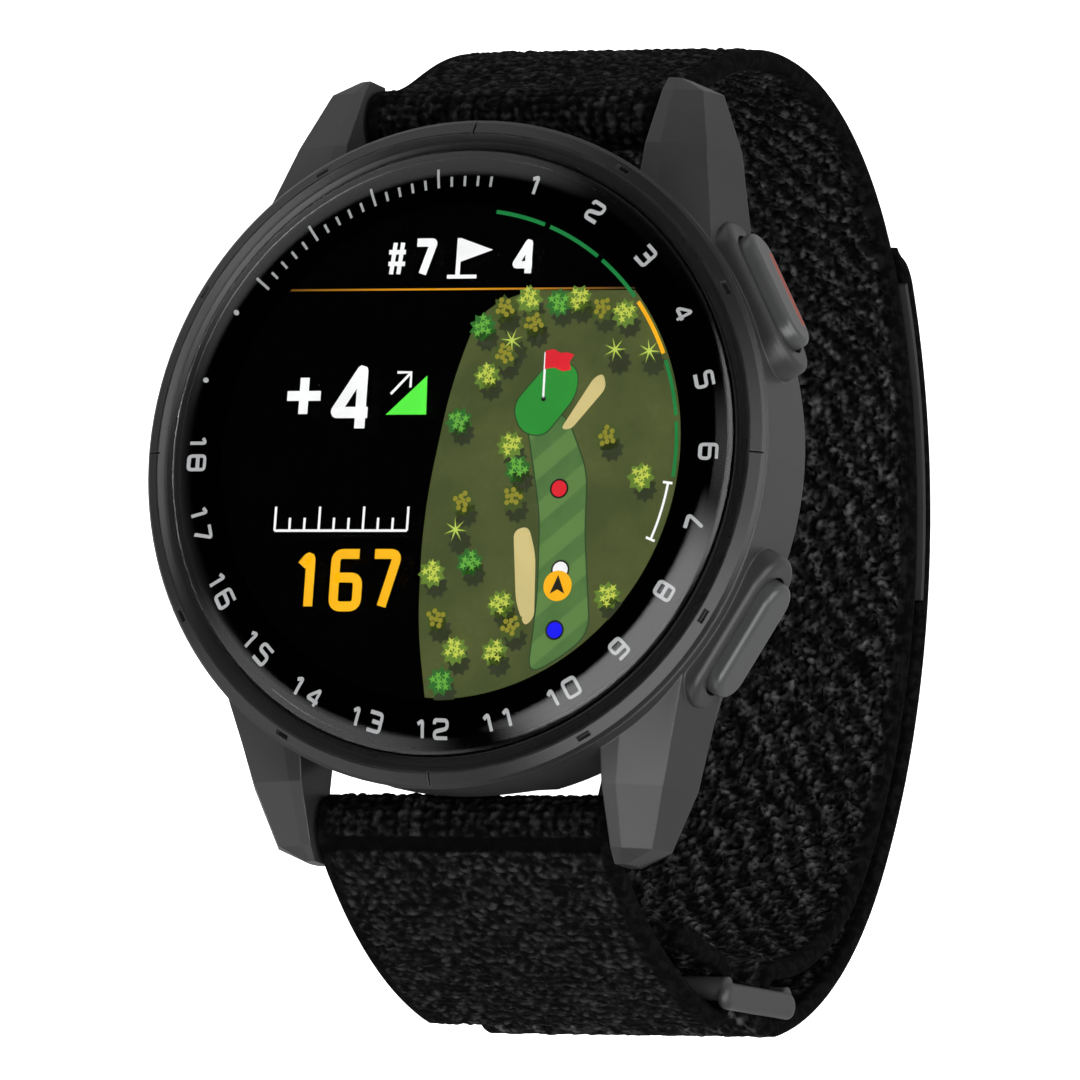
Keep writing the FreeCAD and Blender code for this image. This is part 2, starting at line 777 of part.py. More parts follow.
def back_cover():
    body = turned("cover", [
        (size.window_radius + size.running_gap, 0),
        (size.island_radius, 0),
        (size.island_radius + 2.2, 0.7),
        (size.cover_radius, 1.3),
        (size.cover_radius, size.cover_top),
        (size.seal_radius + size.seal_width + 0.05, size.cover_top),
        (size.seal_radius + size.seal_width + 0.05, size.cover_top - 0.5),
        (size.seal_radius - 0.05, size.cover_top - 0.5),
        (size.seal_radius - 0.05, size.cover_top),
        (size.sensor_board_radius + 1.2, size.cover_top),
        (size.sensor_board_radius + 1.2, size.window_depth),
        (size.window_radius + size.running_gap, size.window_depth),
    ])
    cuts = [block("port_room", size.port_length, size.port_width, size.cover_top, 0, -size.port_reach, 0)]
    for bearing in COVER_SCREW_BEARINGS:
        x, y = radial(bearing, COVER_SCREW_REACH)
        cuts.append(cylinder("cover_hole", size.screw_radius + size.running_gap, size.cover_top, x, y))
        cuts.append(cylinder("cover_sink", 1.0, 1.75, x, y))
    node(cut("back_cover", body, cuts), "back_cover")
    node(tube("back_seal", size.seal_radius + size.seal_width, size.seal_radius, 0.5,
              z=size.cover_top - 0.5), "back_seal")


def back_screws():
    screws = []
    for bearing in COVER_SCREW_BEARINGS:
        x, y = radial(bearing, COVER_SCREW_REACH)
        head = cylinder("cover_head", 0.95, 0.45, x, y, 1.3)
        shank = cylinder("cover_shank", size.screw_radius, size.cover_top, x, y, 1.75)
        drive = block("cover_drive", 0.3, 1.3, 0.2, x, y, 1.3)
        screws.append(cut("cover_screw", fuse("cover_screw_blank", [head, shank]), [drive]))
    node(group("back_screws", screws), "back_screws")


def charge_port():
    bottom = 0.9
    height = size.ledge_top - 0.1 - bottom
    body = block("port_body", size.port_length, size.port_width, height, 0, -size.port_reach, bottom)
    room = block("port_opening", size.port_length - 1, size.port_width - 1, 1.2, 0, -size.port_reach, bottom)
    pins = []
    slots = []
    for step in range(4):
        x = (step - 1.5) * (size.port_length - 2) / 4
        pins.append(cylinder("port_pin", 0.25, 1.6, x, -size.port_reach, 1.3))
        slots.append(cylinder("port_pin_hole", 0.25, 1.6, x, -size.port_reach, 1.3))
    node(cut("charge_port", body, [room] + slots), "charge_port")
    node(group("charge_pins", pins), "charge_pins")


def sensor():
    node(cylinder("sensor_window", size.window_radius, size.window_depth), "sensor_window")
    board_bottom_level = size.window_depth + size.sensor_room
    node(cylinder("sensor_board", size.sensor_board_radius, size.sensor_board_depth,
                  z=board_bottom_level), "sensor_board")
    wall = tube("baffle_ring", size.window_radius - 0.4, size.window_radius - 0.9, size.sensor_room,
                z=size.window_depth)
    walls = [wall]
    for turn in (45, -45):
        span = 2 * (size.window_radius - 0.6)
        bar = doc.addObject("Part::Box", "baffle_bar")
        bind(bar, "Length", span)
        bar.Width = 0.5
        bind(bar, "Height", size.sensor_room)
        shift = span / 2
        place(bar, -(shift * cosine(turn)) + 0.25 * sine(turn), -(shift * sine(turn)) - 0.25 * cosine(turn),
              size.window_depth, spun(turn))
        walls.append(bar)
    node(fuse("light_baffle", walls), "light_baffle")
    lamps = []
    eyes = []
    for bearing in (0, 90, 180, 270):
        x, y = radial(bearing, 2.6)
        lamps.append(block("lamp", 1.2, 1.2, 0.4, x, y, board_bottom_level - 0.4))
        x, y = radial(bearing, 4.8)
        eyes.append(block("eye", 1.6, 1.6, 0.4, x, y, board_bottom_level - 0.4))
    node(group("sensor_lamps", lamps), "sensor_lamps")
    node(group("light_detectors", eyes), "light_detectors")


# Vibration motor.

def vibration_motor():
    start = -(size.motor_length / 2)
    level = size.ledge_top + size.motor_radius
    x = -size.motor_reach
    wall = size.motor_wall
    shell = cylinder("motor_shell", size.motor_radius, size.motor_length, x, start, level, ALONG_Y)
    room = cylinder("motor_room", size.motor_radius - wall, size.motor_length - wall, x, start + wall,
                    level, ALONG_Y)
    bush = cylinder("motor_bush", 0.35, wall, x, start, level, ALONG_Y)
    node(cut("motor_can", shell, [room, bush]), "motor_can")
    core = cylinder("motor_core_block", size.motor_radius - wall, 3.0, x, start + size.motor_length - 3.0,
                    level, ALONG_Y)
    hole = cylinder("motor_core_hole", 0.35, 3.0, x, start + size.motor_length - 3.0, level, ALONG_Y)
    node(cut("motor_core", core, [hole]), "motor_core")
    node(cylinder("motor_shaft", 0.3, size.motor_length - 0.2, x, start, level, ALONG_Y), "motor_shaft")
    weight = cylinder("motor_weight_block", size.motor_radius - wall - 0.2, 2.8, x, start + wall + 0.3,
                      level, ALONG_Y, 180)
    bore = cylinder("motor_weight_bore", 0.3, 2.8, x, start + wall + 0.3, level, ALONG_Y)
    node(cut("motor_weight", weight, [bore]), "motor_weight")


# Buttons.

def button(name, bearing):
    turn = button_turn(bearing)
    level = size.button_level
    cap = stadium(name + "_cap", size.button_length, size.button_width, size.button_foot,
                  size.button_face, turn, level, 0.45)
    spring_seat = size.button_foot - size.recess_floor
    if name == "upper_button":
        groove = accent(name + "_groove", bearing, 0.5)
        cap = cut(name + "_grooved_cap", cap, [groove])
        node(accent(name + "_accent", bearing, 0.25), name + "_accent")
    x, y = radial(bearing, size.cavity_radius - 0.8)
    stem_length = size.button_foot - size.cavity_radius + 1.0
    stem = cylinder(name + "_stem", size.stem_radius, stem_length, x, y, level, turn)
    x, y = radial(bearing, size.cavity_radius - 0.45)
    neck = tube(name + "_stem_neck", 2 * size.stem_radius, size.stem_radius - 0.2, 0.3, x, y, level, turn)
    x_seal, y_seal = radial(bearing, size.cavity_radius + 0.55)
    groove = tube(name + "_seal_groove", 2 * size.stem_radius, size.stem_radius - 0.25, 0.4,
                  x_seal, y_seal, level, turn)
    node(cut(name, fuse(name + "_whole", [cap, stem]), [neck, groove]), name)
    node(tube(name + "_clip", 1.5, size.stem_radius - 0.2, 0.3, x, y, level, turn), name + "_clip")
    node(tube(name + "_seal", size.stem_radius + size.running_gap / 2, size.stem_radius - 0.25, 0.4,
              x_seal, y_seal, level, turn), name + "_seal")
    wire = 0.1
    x, y = radial(bearing, size.recess_floor + wire + 0.02)
    node(coil(name + "_spring", size.stem_radius + 0.25, wire, spring_seat - 2 * wire - 0.04, 3,
              x, y, level, turn), name + "_spring")
    switch(name, bearing)


def accent(name, bearing, depth):
    """The coloured strip let into the rear half of the upper button's face."""
    turn = button_turn(bearing)
    item = doc.addObject("Part::Box", name)
    item.Length = 5.2
    item.Width = 0.5
    bind(item, "Height", depth)
    bottom = size.button_face - 0.25
    x, y = radial(bearing, bottom)
    back = item.Length.Value / 2
    place(item, x + back * cosine(bearing), y - back * sine(bearing), size.button_level - 1.05, turn)
    return item


def switch(name, bearing):
    """The dome switch behind a button, soldered to the underside of the board."""
    turn = button_turn(bearing)
    depth = 1.2
    height = 2 * (board_bottom - size.button_level)
    back = size.board_radius - depth
    x, y = radial(bearing, back)
    base = doc.addObject("Part::Box", name + "_switch_base")
    base.Length = 3.4
    bind(base, "Width", height)
    base.Height = depth - 0.3
    place(base, x + 1.7 * cosine(bearing), y - 1.7 * sine(bearing), size.button_level - height / 2, turn)
    x, y = radial(bearing, size.board_radius - 0.3)
    dome = cylinder(name + "_dome", 0.7, 0.25, x, y, size.button_level, turn)
    node(fuse(name + "_switch", [base, dome]), name + "_switch")


# Spring bars.

def spring_bar(name, side):
    y = side * size.bar_reach
    level = size.bar_level
    half = size.lug_gap / 2 - size.bar_end_gap
    outside = cylinder(name + "_rod", size.bar_radius, 2 * half, -half, y, level, ACROSS)
    seat = 2.0
    bore_start = 1.2
    left_bore = cylinder(name + "_left_bore", size.bar_bore, seat, -half, y, level, ACROSS)
    right_bore = cylinder(name + "_right_bore", size.bar_bore, half - bore_start, bore_start, y, level, ACROSS)
    lever_at = half - 2.0
    slot_length = size.release_travel + 2 * size.lever_radius + 0.3
    slot_start = lever_at - size.lever_radius - size.release_travel - 0.15
    slot = block(name + "_slot", slot_length, 2 * size.lever_radius + 0.1, size.bar_radius + 0.1,
                 slot_start + slot_length / 2, y, level - size.bar_radius - 0.1)
    node(cut(name + "_tube", outside, [left_bore, right_bore, slot]), name + "_tube")
    pin = cylinder(name + "_pin", size.pin_radius, size.pin_reach - half, -size.pin_reach, y, level, ACROSS)
    plug = cylinder(name + "_plug", size.bar_bore, seat, -half, y, level, ACROSS)
    node(fuse(name + "_fixed_tip", [pin, plug]), name + "_fixed_tip")
    plunger_start = lever_at - size.lever_radius
    plunger_radius = size.bar_bore - size.running_gap
    plunger = cylinder(name + "_plunger", plunger_radius, half - plunger_start, plunger_start, y, level, ACROSS)
    moving_pin = cylinder(name + "_moving_pin", size.pin_radius, size.pin_reach - half, half, y, level, ACROSS)
    lever_reach = size.roll_radius + 0.9
    lever = cylinder(name + "_lever_rod", size.lever_radius - 0.1, lever_reach, lever_at, y,
                     level - lever_reach)
    knob = cylinder(name + "_knob", size.lever_radius, 0.9, lever_at, y, level - lever_reach)
    node(fuse(name + "_release_tip", [plunger, moving_pin, lever, knob]), name + "_release_tip")
    wire = 0.08
    length = plunger_start - bore_start - 2 * wire - 0.1
    node(coil(name + "_spring", size.bar_bore - wire - 0.04, wire, length, 8,
              bore_start + wire + 0.05, y, level, ACROSS), name + "_spring")


def lever_window(name, side):
    """The cut in the strap's rolled end that the release lever moves in."""
    half = size.lug_gap / 2 - size.bar_end_gap
    length = size.release_travel + 2 * size.lever_radius + 1.0
    centre = half - 2.0 - size.release_travel / 2
    return block(name, length, 2 * size.lever_radius + 0.9, size.roll_radius + 1.2, centre,
                 side * size.bar_reach, size.bar_level - size.roll_radius - 1.2)


# Strap.

def rolled_end(name, side):
    across = size.strap_width
    outside = cylinder(name, size.roll_radius, across, -(across / 2), side * size.bar_reach,
                       size.bar_level, ACROSS)
    return outside


def bar_passage(name, side):
    across = size.strap_width
    return cylinder(name, size.bar_radius + size.running_gap, across, -(across / 2),
                    side * size.bar_reach, size.bar_level, ACROSS)


def folded(name, centre_y, centre_z, start, end):
    """Fabric that goes round one bar of the loop between two bearings."""
    across = size.strap_width
    return tube(name, fold_outer, fold_inner, across, -(across / 2), centre_y, centre_z,
                spun(end, ACROSS), as_size(start) - end)


def upper_strap():
    depth = -size.strap_depth
    layers = [
        rolled_end("upper_roll", 1),
        back_bend.layer("upper_back", 0, depth),
        bottom_bend.layer("upper_bottom", 0, depth),
        loop_bend.layer("upper_loop", 0, depth),
        folded("upper_fold", upper_loop_y, upper_loop_z, fold_end + 360, size.loop_bend_end + 180),
    ]
    whole = fuse("upper_strap_whole", layers)
    cuts = [bar_passage("upper_passage", 1), lever_window("upper_window", 1)]
    node(cut("upper_strap", whole, cuts), "upper_strap")


def strap_tail():
    inner = size.tail_stand_off
    outer = tail_offset
    end_bend = Bend(back_bend.centre_y, back_bend.centre_z, back_bend.radius, size.tail_end, back_bend.end)
    near_loop = Bend(tail_centre_y, tail_centre_z, tail_radius, size.bottom_bend_end, tail_start)
    layers = [
        Bend.layer(end_bend, "tail_end_part", outer, inner),
        bottom_bend.layer("tail_bottom", outer, inner),
        near_loop.layer("tail_near_loop", 0, -size.strap_depth),
    ]
    node(fuse("strap_tail", layers), "strap_tail")
    patch_start = bottom_bend.start - 1
    patch = Bend(bottom_bend.centre_y, bottom_bend.centre_z, bottom_bend.radius, patch_start,
                 patch_start - size.patch_length)
    node(patch.layer("hook_patch", inner, inner - size.patch_depth), "hook_patch")


def lower_strap():
    depth = -size.strap_depth
    layers = [
        rolled_end("lower_roll", -1),
        lower_bend.layer("lower_band", 0, depth),
        folded("lower_fold", lower_loop_y, lower_loop_z, size.lower_bend_end + 180, size.lower_bend_end),
    ]
    flap_length = 6.5
    turn = spun(size.lower_bend_end - 90, ACROSS)
    along_y = lower_loop_y - fold_outer * cosine(size.lower_bend_end)
    along_z = lower_loop_z - fold_outer * sine(size.lower_bend_end)
    flap = doc.addObject("Part::Box", "lower_flap")
    bind(flap, "Length", flap_length)
    bind(flap, "Width", size.strap_depth)
    bind(flap, "Height", size.strap_width)
    place(flap, -(size.strap_width / 2), along_y, along_z, turn)
    whole = fuse("lower_strap_whole", layers + [flap])
    cuts = [bar_passage("lower_passage", -1), lever_window("lower_window", -1)]
    node(cut("lower_strap", whole, cuts), "lower_strap")


def strap_loop():
    """The flat loop that joins the two straps: two bars and two rounded legs."""
    half = size.strap_width / 2 + size.loop_side_gap
    pieces = []
    for name, y, z in (("lower_bar", lower_loop_y, lower_loop_z), ("upper_bar", upper_loop_y, upper_loop_z)):
        pieces.append(cylinder(name, size.loop_bar_radius, 2 * half + 1, -half - 0.5, y, z, ACROSS))
    span_y = upper_loop_y - lower_loop_y
    span_z = upper_loop_z - lower_loop_z
    lean = Size(math.degrees(math.atan(span_y.number / span_z.number)),
                f"(atan({(span_y / span_z).text}) / 1deg)")
    length = Size(math.hypot(span_y.number, span_z.number),
                  f"sqrt({(span_y * span_y + span_z * span_z).text})")
    for side in (1, -1):
        body = doc.addObject("PartDesign::Body", f"loop_leg_{side + 1}")
        profile = new_sketch(body, f"leg_outline_{side + 1}", "XY_Plane")
        draw_stadium(profile, length + 2 * size.loop_leg_radius, 2 * size.loop_leg_radius)
        pad = body.newObject("PartDesign::Pad", f"leg_pad_{side + 1}")
        pad.Profile = profile
        bind(pad, "Length", size.loop_leg_width)
        doc.recompute()
        round_edges(body, pad, 0.4, lambda edge: edge.BoundBox.ZLength < 0.01)
        start = half if side == 1 else -half - size.loop_leg_width
        place(body, start, (lower_loop_y + upper_loop_y) / 2 - size.loop_leg_offset, (lower_loop_z + upper_loop_z) / 2,
              spun(90 - lean, ACROSS))
        pieces.append(body)
    node(fuse("strap_loop", pieces), "strap_loop")


main_case()
front_bezel()
lens_glass()
lens_layers()
display_stack()
mid_frame()
main_board()
board_chips()
ribbons()
battery()
back_cover()
back_screws()
charge_port()
sensor()
vibration_motor()
for button_name, button_bearing in BUTTON_BEARINGS.items():
    button(button_name, button_bearing)
spring_bar("upper_bar", 1)
spring_bar("lower_bar", -1)
upper_strap()
strap_tail()
lower_strap()
strap_loop()
doc.recompute()

for item in doc.Objects:
    faults = {"Invalid", "Error"} & set(item.State)
    if faults:
        raise RuntimeError(f"{item.Name} is {faults}")
for name, item in NODES.items():
    if item.Shape.isNull() or not item.Shape.isValid():
        raise RuntimeError(f"{name} has no valid shape")
os.makedirs("parts", exist_ok=True)
for name, item in NODES.items():
    item.Shape.exportStep(f"parts/{name}.step")
    print(f"{name}: {len(item.Shape.Solids)} solids, {item.Shape.Volume:.2f} mm3")
print(f"loop bars: lower {lower_loop_y.number:.3f}, {lower_loop_z.number:.3f}; "
      f"upper {upper_loop_y.number:.3f}, {upper_loop_z.number:.3f}")
print(f"tail bend {tail_radius.number:.3f} about {tail_centre_y.number:.3f}, {tail_centre_z.number:.3f}, "
      f"fold ends at {fold_end.number:.2f}")
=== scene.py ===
"""Looks of a golf watch: finishes for its hard parts, the woven strap and the lit picture."""

import json
import math

import bpy
import numpy as np
from mathutils import Matrix, Vector


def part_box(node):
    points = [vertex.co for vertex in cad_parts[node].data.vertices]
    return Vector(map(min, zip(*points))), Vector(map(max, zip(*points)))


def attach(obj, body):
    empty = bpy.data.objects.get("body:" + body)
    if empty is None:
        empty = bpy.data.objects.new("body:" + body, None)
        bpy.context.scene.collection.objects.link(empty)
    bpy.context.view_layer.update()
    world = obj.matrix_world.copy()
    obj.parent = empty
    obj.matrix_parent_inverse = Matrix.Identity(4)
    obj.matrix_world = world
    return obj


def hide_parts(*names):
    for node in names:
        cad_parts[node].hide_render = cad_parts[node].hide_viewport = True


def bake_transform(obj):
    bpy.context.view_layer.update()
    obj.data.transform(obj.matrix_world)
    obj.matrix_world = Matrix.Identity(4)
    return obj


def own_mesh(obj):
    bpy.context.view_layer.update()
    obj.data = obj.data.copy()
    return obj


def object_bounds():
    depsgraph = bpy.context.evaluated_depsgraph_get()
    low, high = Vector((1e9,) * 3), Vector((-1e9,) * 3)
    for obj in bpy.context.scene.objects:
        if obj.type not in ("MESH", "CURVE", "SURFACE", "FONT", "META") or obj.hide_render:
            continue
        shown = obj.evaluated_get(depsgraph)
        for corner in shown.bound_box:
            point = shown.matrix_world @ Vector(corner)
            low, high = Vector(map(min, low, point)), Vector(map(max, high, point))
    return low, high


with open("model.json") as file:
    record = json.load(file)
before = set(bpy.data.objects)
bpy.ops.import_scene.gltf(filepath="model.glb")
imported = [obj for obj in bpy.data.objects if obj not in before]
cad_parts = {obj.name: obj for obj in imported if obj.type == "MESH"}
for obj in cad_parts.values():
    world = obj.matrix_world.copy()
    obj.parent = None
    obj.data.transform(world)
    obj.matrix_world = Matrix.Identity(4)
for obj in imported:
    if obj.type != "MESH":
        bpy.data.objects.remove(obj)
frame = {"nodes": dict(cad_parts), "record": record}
cad_box = [list(corner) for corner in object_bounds()]

MM = 0.001
CASE = "watch_case"
UPPER_BAND = "upper_band"
LOWER_BAND = "lower_band"


# Meshes.

def mesh_piece(name, points, faces, material, body, smooth=True):
    """A mesh in metres that rides on a body."""
    mesh = bpy.data.meshes.new(name)
    mesh.from_pydata([tuple(p) for p in points], [], [tuple(f) for f in faces])
    mesh.update()
    mesh.polygons.foreach_set("use_smooth", [smooth] * len(mesh.polygons))
    mesh.materials.append(material)
    piece = bpy.data.objects.new(name, mesh)
    bpy.context.scene.collection.objects.link(piece)
    if body is not None:
        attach(piece, body)
    return piece


def set_relief(piece, values):
    """Stores how high each point of a fabric stands, from 0 in its hollows to 1 on its loops; the yarn's
    material paints shade and highlights from it.
    """
    relief = piece.data.attributes.new("relief", "FLOAT", "POINT")
    relief.data.foreach_set("value", np.asarray(values, np.float32))


# Node groups and materials.

class Wiring:
    """Adds nodes to a tree, taking each input as a value or as another node's output."""

    def __init__(self, tree):
        self.tree = tree
        tree.nodes.clear()

    def node(self, kind, inputs=None, **settings):
        made = self.tree.nodes.new(kind)
        for key, value in settings.items():
            setattr(made, key, value)
        for key, value in (inputs or {}).items():
            if isinstance(value, bpy.types.NodeSocket):
                self.tree.links.new(value, made.inputs[key])
            else:
                made.inputs[key].default_value = value
        return made

    def maths(self, operation, *values):
        return self.node("ShaderNodeMath", dict(enumerate(values)), operation=operation).outputs[0]

    def between(self, value, low, high):
        """Spreads a value from 0 at low to 1 at high."""
        spread = {"Value": value, "From Min": low, "From Max": high}
        return self.node("ShaderNodeMapRange", spread).outputs["Result"]

    def blend(self, factor, first, second):
        colours = {"Factor": factor, "A": first, "B": second}
        mixed = self.tree.nodes.new("ShaderNodeMix")
        mixed.data_type = "RGBA"
        sockets = {"Factor": mixed.inputs[0], "A": mixed.inputs[6], "B": mixed.inputs[7]}
        for key, value in colours.items():
            if isinstance(value, bpy.types.NodeSocket):
                self.tree.links.new(value, sockets[key])
            else:
                sockets[key].default_value = value
        return mixed.outputs[2]


def new_group(name, inputs, outputs):
    """A shader node group with float inputs and outputs, and the wiring to fill it."""
    tree = bpy.data.node_groups.new(name, "ShaderNodeTree")
    wiring = Wiring(tree)
    for label, value in inputs.items():
        socket = tree.interface.new_socket(name=label, in_out="INPUT", socket_type="NodeSocketFloat")
        socket.default_value = value
    for label in outputs:
        tree.interface.new_socket(name=label, in_out="OUTPUT", socket_type="NodeSocketFloat")
    entry = tree.nodes.new("NodeGroupInput")
    leave = tree.nodes.new("NodeGroupOutput")
    return tree, wiring, entry.outputs, leave.inputs


def grain_group():
    """Fine moulded or blasted grain, with a slow variation over the part."""
    scales = {"Scale": 4000.0, "Slow Scale": 120.0}
    tree, wiring, given, put = new_group("Grain", scales, ["Height", "Variation"])
    place = wiring.node("ShaderNodeTexCoord").outputs["Object"]
    fine = wiring.node("ShaderNodeTexNoise", {
        "Vector": place, "Scale": given["Scale"], "Detail": 3.0, "Roughness": 0.65})
    slow = wiring.node("ShaderNodeTexNoise", {"Vector": place, "Scale": given["Slow Scale"], "Detail": 4.0})
    tree.links.new(fine.outputs["Fac"], put["Height"])
    tree.links.new(wiring.between(slow.outputs["Fac"], 0.35, 0.65), put["Variation"])
    return tree


def edge_group():
    """A mask of the edges, broken up by noise, along which finishes paint a highlight."""
    tree, wiring, given, put = new_group("Edge Highlight", {"Width": 0.00012, "Break Up": 900.0}, ["Mask"])
    rounded = wiring.node("ShaderNodeBevel", {"Radius": given["Width"]}, samples=4).outputs["Normal"]
    flat = wiring.node("ShaderNodeNewGeometry").outputs["Normal"]
    likeness = wiring.node("ShaderNodeVectorMath", {0: rounded, 1: flat}, operation="DOT_PRODUCT")
    edge = wiring.between(likeness.outputs["Value"], 0.995, 0.86)
    place = wiring.node("ShaderNodeTexCoord").outputs["Object"]
    noise = wiring.node("ShaderNodeTexNoise", {"Vector": place, "Scale": given["Break Up"], "Detail": 2.0})
    broken = wiring.between(noise.outputs["Fac"], 0.3, 0.6)
    tree.links.new(wiring.maths("MULTIPLY", edge, broken), put["Mask"])
    return tree


def fibre_group():
    """Short crossing fibres, finer than the yarn that they belong to."""
    tree, wiring, given, put = new_group("Fibres", {"Scale": 6000.0}, ["Height", "Fleck"])
    place = wiring.node("ShaderNodeTexCoord").outputs["Object"]
    heights = []
    for stretch in ((1.0, 0.16, 0.16), (0.3, 1.0, 1.0)):
        squeezed = wiring.node("ShaderNodeMapping", {"Vector": place, "Scale": stretch}).outputs["Vector"]
        noise = wiring.node("ShaderNodeTexNoise", {
            "Vector": squeezed, "Scale": given["Scale"], "Detail": 3.0, "Roughness": 0.7,
            "Distortion": 0.6})
        heights.append(noise.outputs["Fac"])
    tree.links.new(wiring.maths("MAXIMUM", *heights), put["Height"])
    # Flecks that break up the yarn's painted highlights.
    fleck = wiring.node("ShaderNodeTexNoise", {"Vector": place, "Scale": 1700.0, "Detail": 2.0})
    tree.links.new(wiring.between(fleck.outputs["Fac"], 0.44, 0.62), put["Fleck"])
    return tree


GRAIN = grain_group()
EDGE_HIGHLIGHT = edge_group()
FIBRES = fibre_group()


def new_material(name):
    material = bpy.data.materials.new(name)
    material.use_nodes = True
    return material, Wiring(material.node_tree)


def use_group(wiring, group, **inputs):
    placed = wiring.node("ShaderNodeGroup", node_tree=group)
    for key, value in inputs.items():
        placed.inputs[key.replace("_", " ")].default_value = value
    return placed.outputs


def finished(material, wiring, inputs):
    """The material, closed with one principled shader."""
    shader = wiring.node("ShaderNodeBsdfPrincipled", inputs)
    out = wiring.node("ShaderNodeOutputMaterial")
    wiring.tree.links.new(shader.outputs[0], out.inputs["Surface"])
    return material


def lit(material, wiring, base, tone, glow=1.0):
    """The material of a print or of a lit patch of the display; on a print its glow is painted light."""
    return finished(material, wiring, {
        "Base Color": base, "Roughness": 0.6, "Emission Color": tone, "Emission Strength": glow})


def shade(colour, factor):
    """A colour made lighter or darker, with full opacity."""
    return tuple(min(1.0, c * factor) for c in colour[:3]) + (1.0,)


def grained(name, colour, roughness=0.5, metallic=0.0, scale=4000.0, depth=0.15, wear=1.6,
            width=0.12 * MM, coat=0.0, specular=0.5, rounding=0.0):
    """A hard finish: fine grain, slow colour variation, a painted highlight along the edges and a soft
    rounding.
    """
    material, wiring = new_material(name)
    grain = use_group(wiring, GRAIN, Scale=scale)
    edges = use_group(wiring, EDGE_HIGHLIGHT, Width=width)
    varied = wiring.blend(grain["Variation"], shade(colour, 0.9), shade(colour, 1.12))
    # Painted highlight: the colour is lightened along the edges.
    highlighted = wiring.blend(edges["Mask"], varied, shade(colour, wear))
    rough = wiring.node("ShaderNodeMapRange", {
        "Value": grain["Variation"], "To Min": roughness * 0.9, "To Max": min(1.0, roughness * 1.12)})
    bump = wiring.node("ShaderNodeBump", {
        "Height": grain["Height"], "Strength": depth, "Distance": 0.04 * MM})
    if rounding:
        softened = wiring.node("ShaderNodeBevel", {"Radius": rounding}, samples=6)
        wiring.tree.links.new(softened.outputs["Normal"], bump.inputs["Normal"])
    return finished(material, wiring, {
        "Base Color": highlighted, "Roughness": rough.outputs["Result"], "Metallic": metallic,
        "Normal": bump.outputs["Normal"], "Coat Weight": coat, "Specular IOR Level": specular})


def turned_metal(name, colour, roughness=0.28):
    """Turned or drawn steel with fine lines across its length and a painted highlight along its edges."""
    material, wiring = new_material(name)
    place = wiring.node("ShaderNodeTexCoord").outputs["Object"]
    lines = wiring.node("ShaderNodeMapping", {"Vector": place, "Scale": (9000.0, 300.0, 300.0)})
    noise = wiring.node("ShaderNodeTexNoise", {
        "Vector": lines.outputs["Vector"], "Scale": 1.0, "Detail": 2.0})
    edges = use_group(wiring, EDGE_HIGHLIGHT, Width=0.06 * MM)
    # Painted highlight: the colour is lightened along the edges.
    highlighted = wiring.blend(edges["Mask"], shade(colour, 0.9), shade(colour, 1.25))
    rough = wiring.node("ShaderNodeMapRange", {
        "Value": noise.outputs["Fac"], "To Min": roughness * 0.7, "To Max": roughness * 1.4})
    bump = wiring.node("ShaderNodeBump", {
        "Height": noise.outputs["Fac"], "Strength": 0.2, "Distance": 0.01 * MM})
    return finished(material, wiring, {
        "Base Color": highlighted, "Roughness": rough.outputs["Result"], "Metallic": 1.0,
        "Normal": bump.outputs["Normal"]})


def clear_glass(name, tint, roughness):
    """Polished glass with softly rounded edges, its gloss a little uneven as if wiped."""
    material, wiring = new_material(name)
    grain = use_group(wiring, GRAIN, Scale=260.0, Slow_Scale=90.0)
    rough = wiring.node("ShaderNodeMapRange", {
        "Value": grain["Variation"], "To Min": roughness, "To Max": roughness * 3})
    smooth = wiring.node("ShaderNodeBevel", {"Radius": 0.3 * MM}, samples=8)
    return finished(material, wiring, {
        "Base Color": tint, "Roughness": rough.outputs["Result"], "IOR": 1.5, "Transmission Weight": 1.0,
        "Normal": smooth.outputs["Normal"]})


def board_finish(name):
    """Green solder mask over fine copper tracks."""
    material, wiring = new_material(name)
    place = wiring.node("ShaderNodeTexCoord").outputs["Object"]
    tracks = wiring.node("ShaderNodeTexBrick", {
        "Vector": place, "Scale": 900.0, "Mortar Size": 0.06, "Color1": (0.01, 0.09, 0.04, 1),
        "Color2": (0.012, 0.07, 0.035, 1), "Mortar": (0.03, 0.2, 0.09, 1)})
    grain = use_group(wiring, GRAIN, Scale=2500.0)
    colour = wiring.blend(grain["Variation"], tracks.outputs["Color"], (0.01, 0.1, 0.045, 1))
    bump = wiring.node("ShaderNodeBump", {
        "Height": tracks.outputs["Fac"], "Strength": 0.3, "Distance": 0.03 * MM})
    return finished(material, wiring, {
        "Base Color": colour, "Roughness": 0.35, "Normal": bump.outputs["Normal"], "Coat Weight": 0.3})


def woven_yarn(name, dark, light):
    """Matt black nylon yarn with painted shade between its loops and painted highlights flecked on their
    tops.
    """
    material, wiring = new_material(name)
    relief = wiring.node("ShaderNodeAttribute", attribute_name="relief").outputs["Fac"]
    fibres = use_group(wiring, FIBRES)
    # Painted shade and highlight: dark in the hollows, light on the loops' tops, from the relief.
    light_by_height = wiring.maths("POWER", wiring.between(relief, 0.15, 0.9), 1.5)
    painted_light = wiring.maths("MULTIPLY", light_by_height, wiring.maths("ADD", fibres["Fleck"], 0.12))
    colour = wiring.blend(painted_light, dark, light)
    bump = wiring.node("ShaderNodeBump", {
        "Height": fibres["Height"], "Strength": 0.9, "Distance": 0.12 * MM})
    return finished(material, wiring, {
        "Base Color": colour, "Roughness": 0.85, "Normal": bump.outputs["Normal"],
        "Specular IOR Level": 0.03})


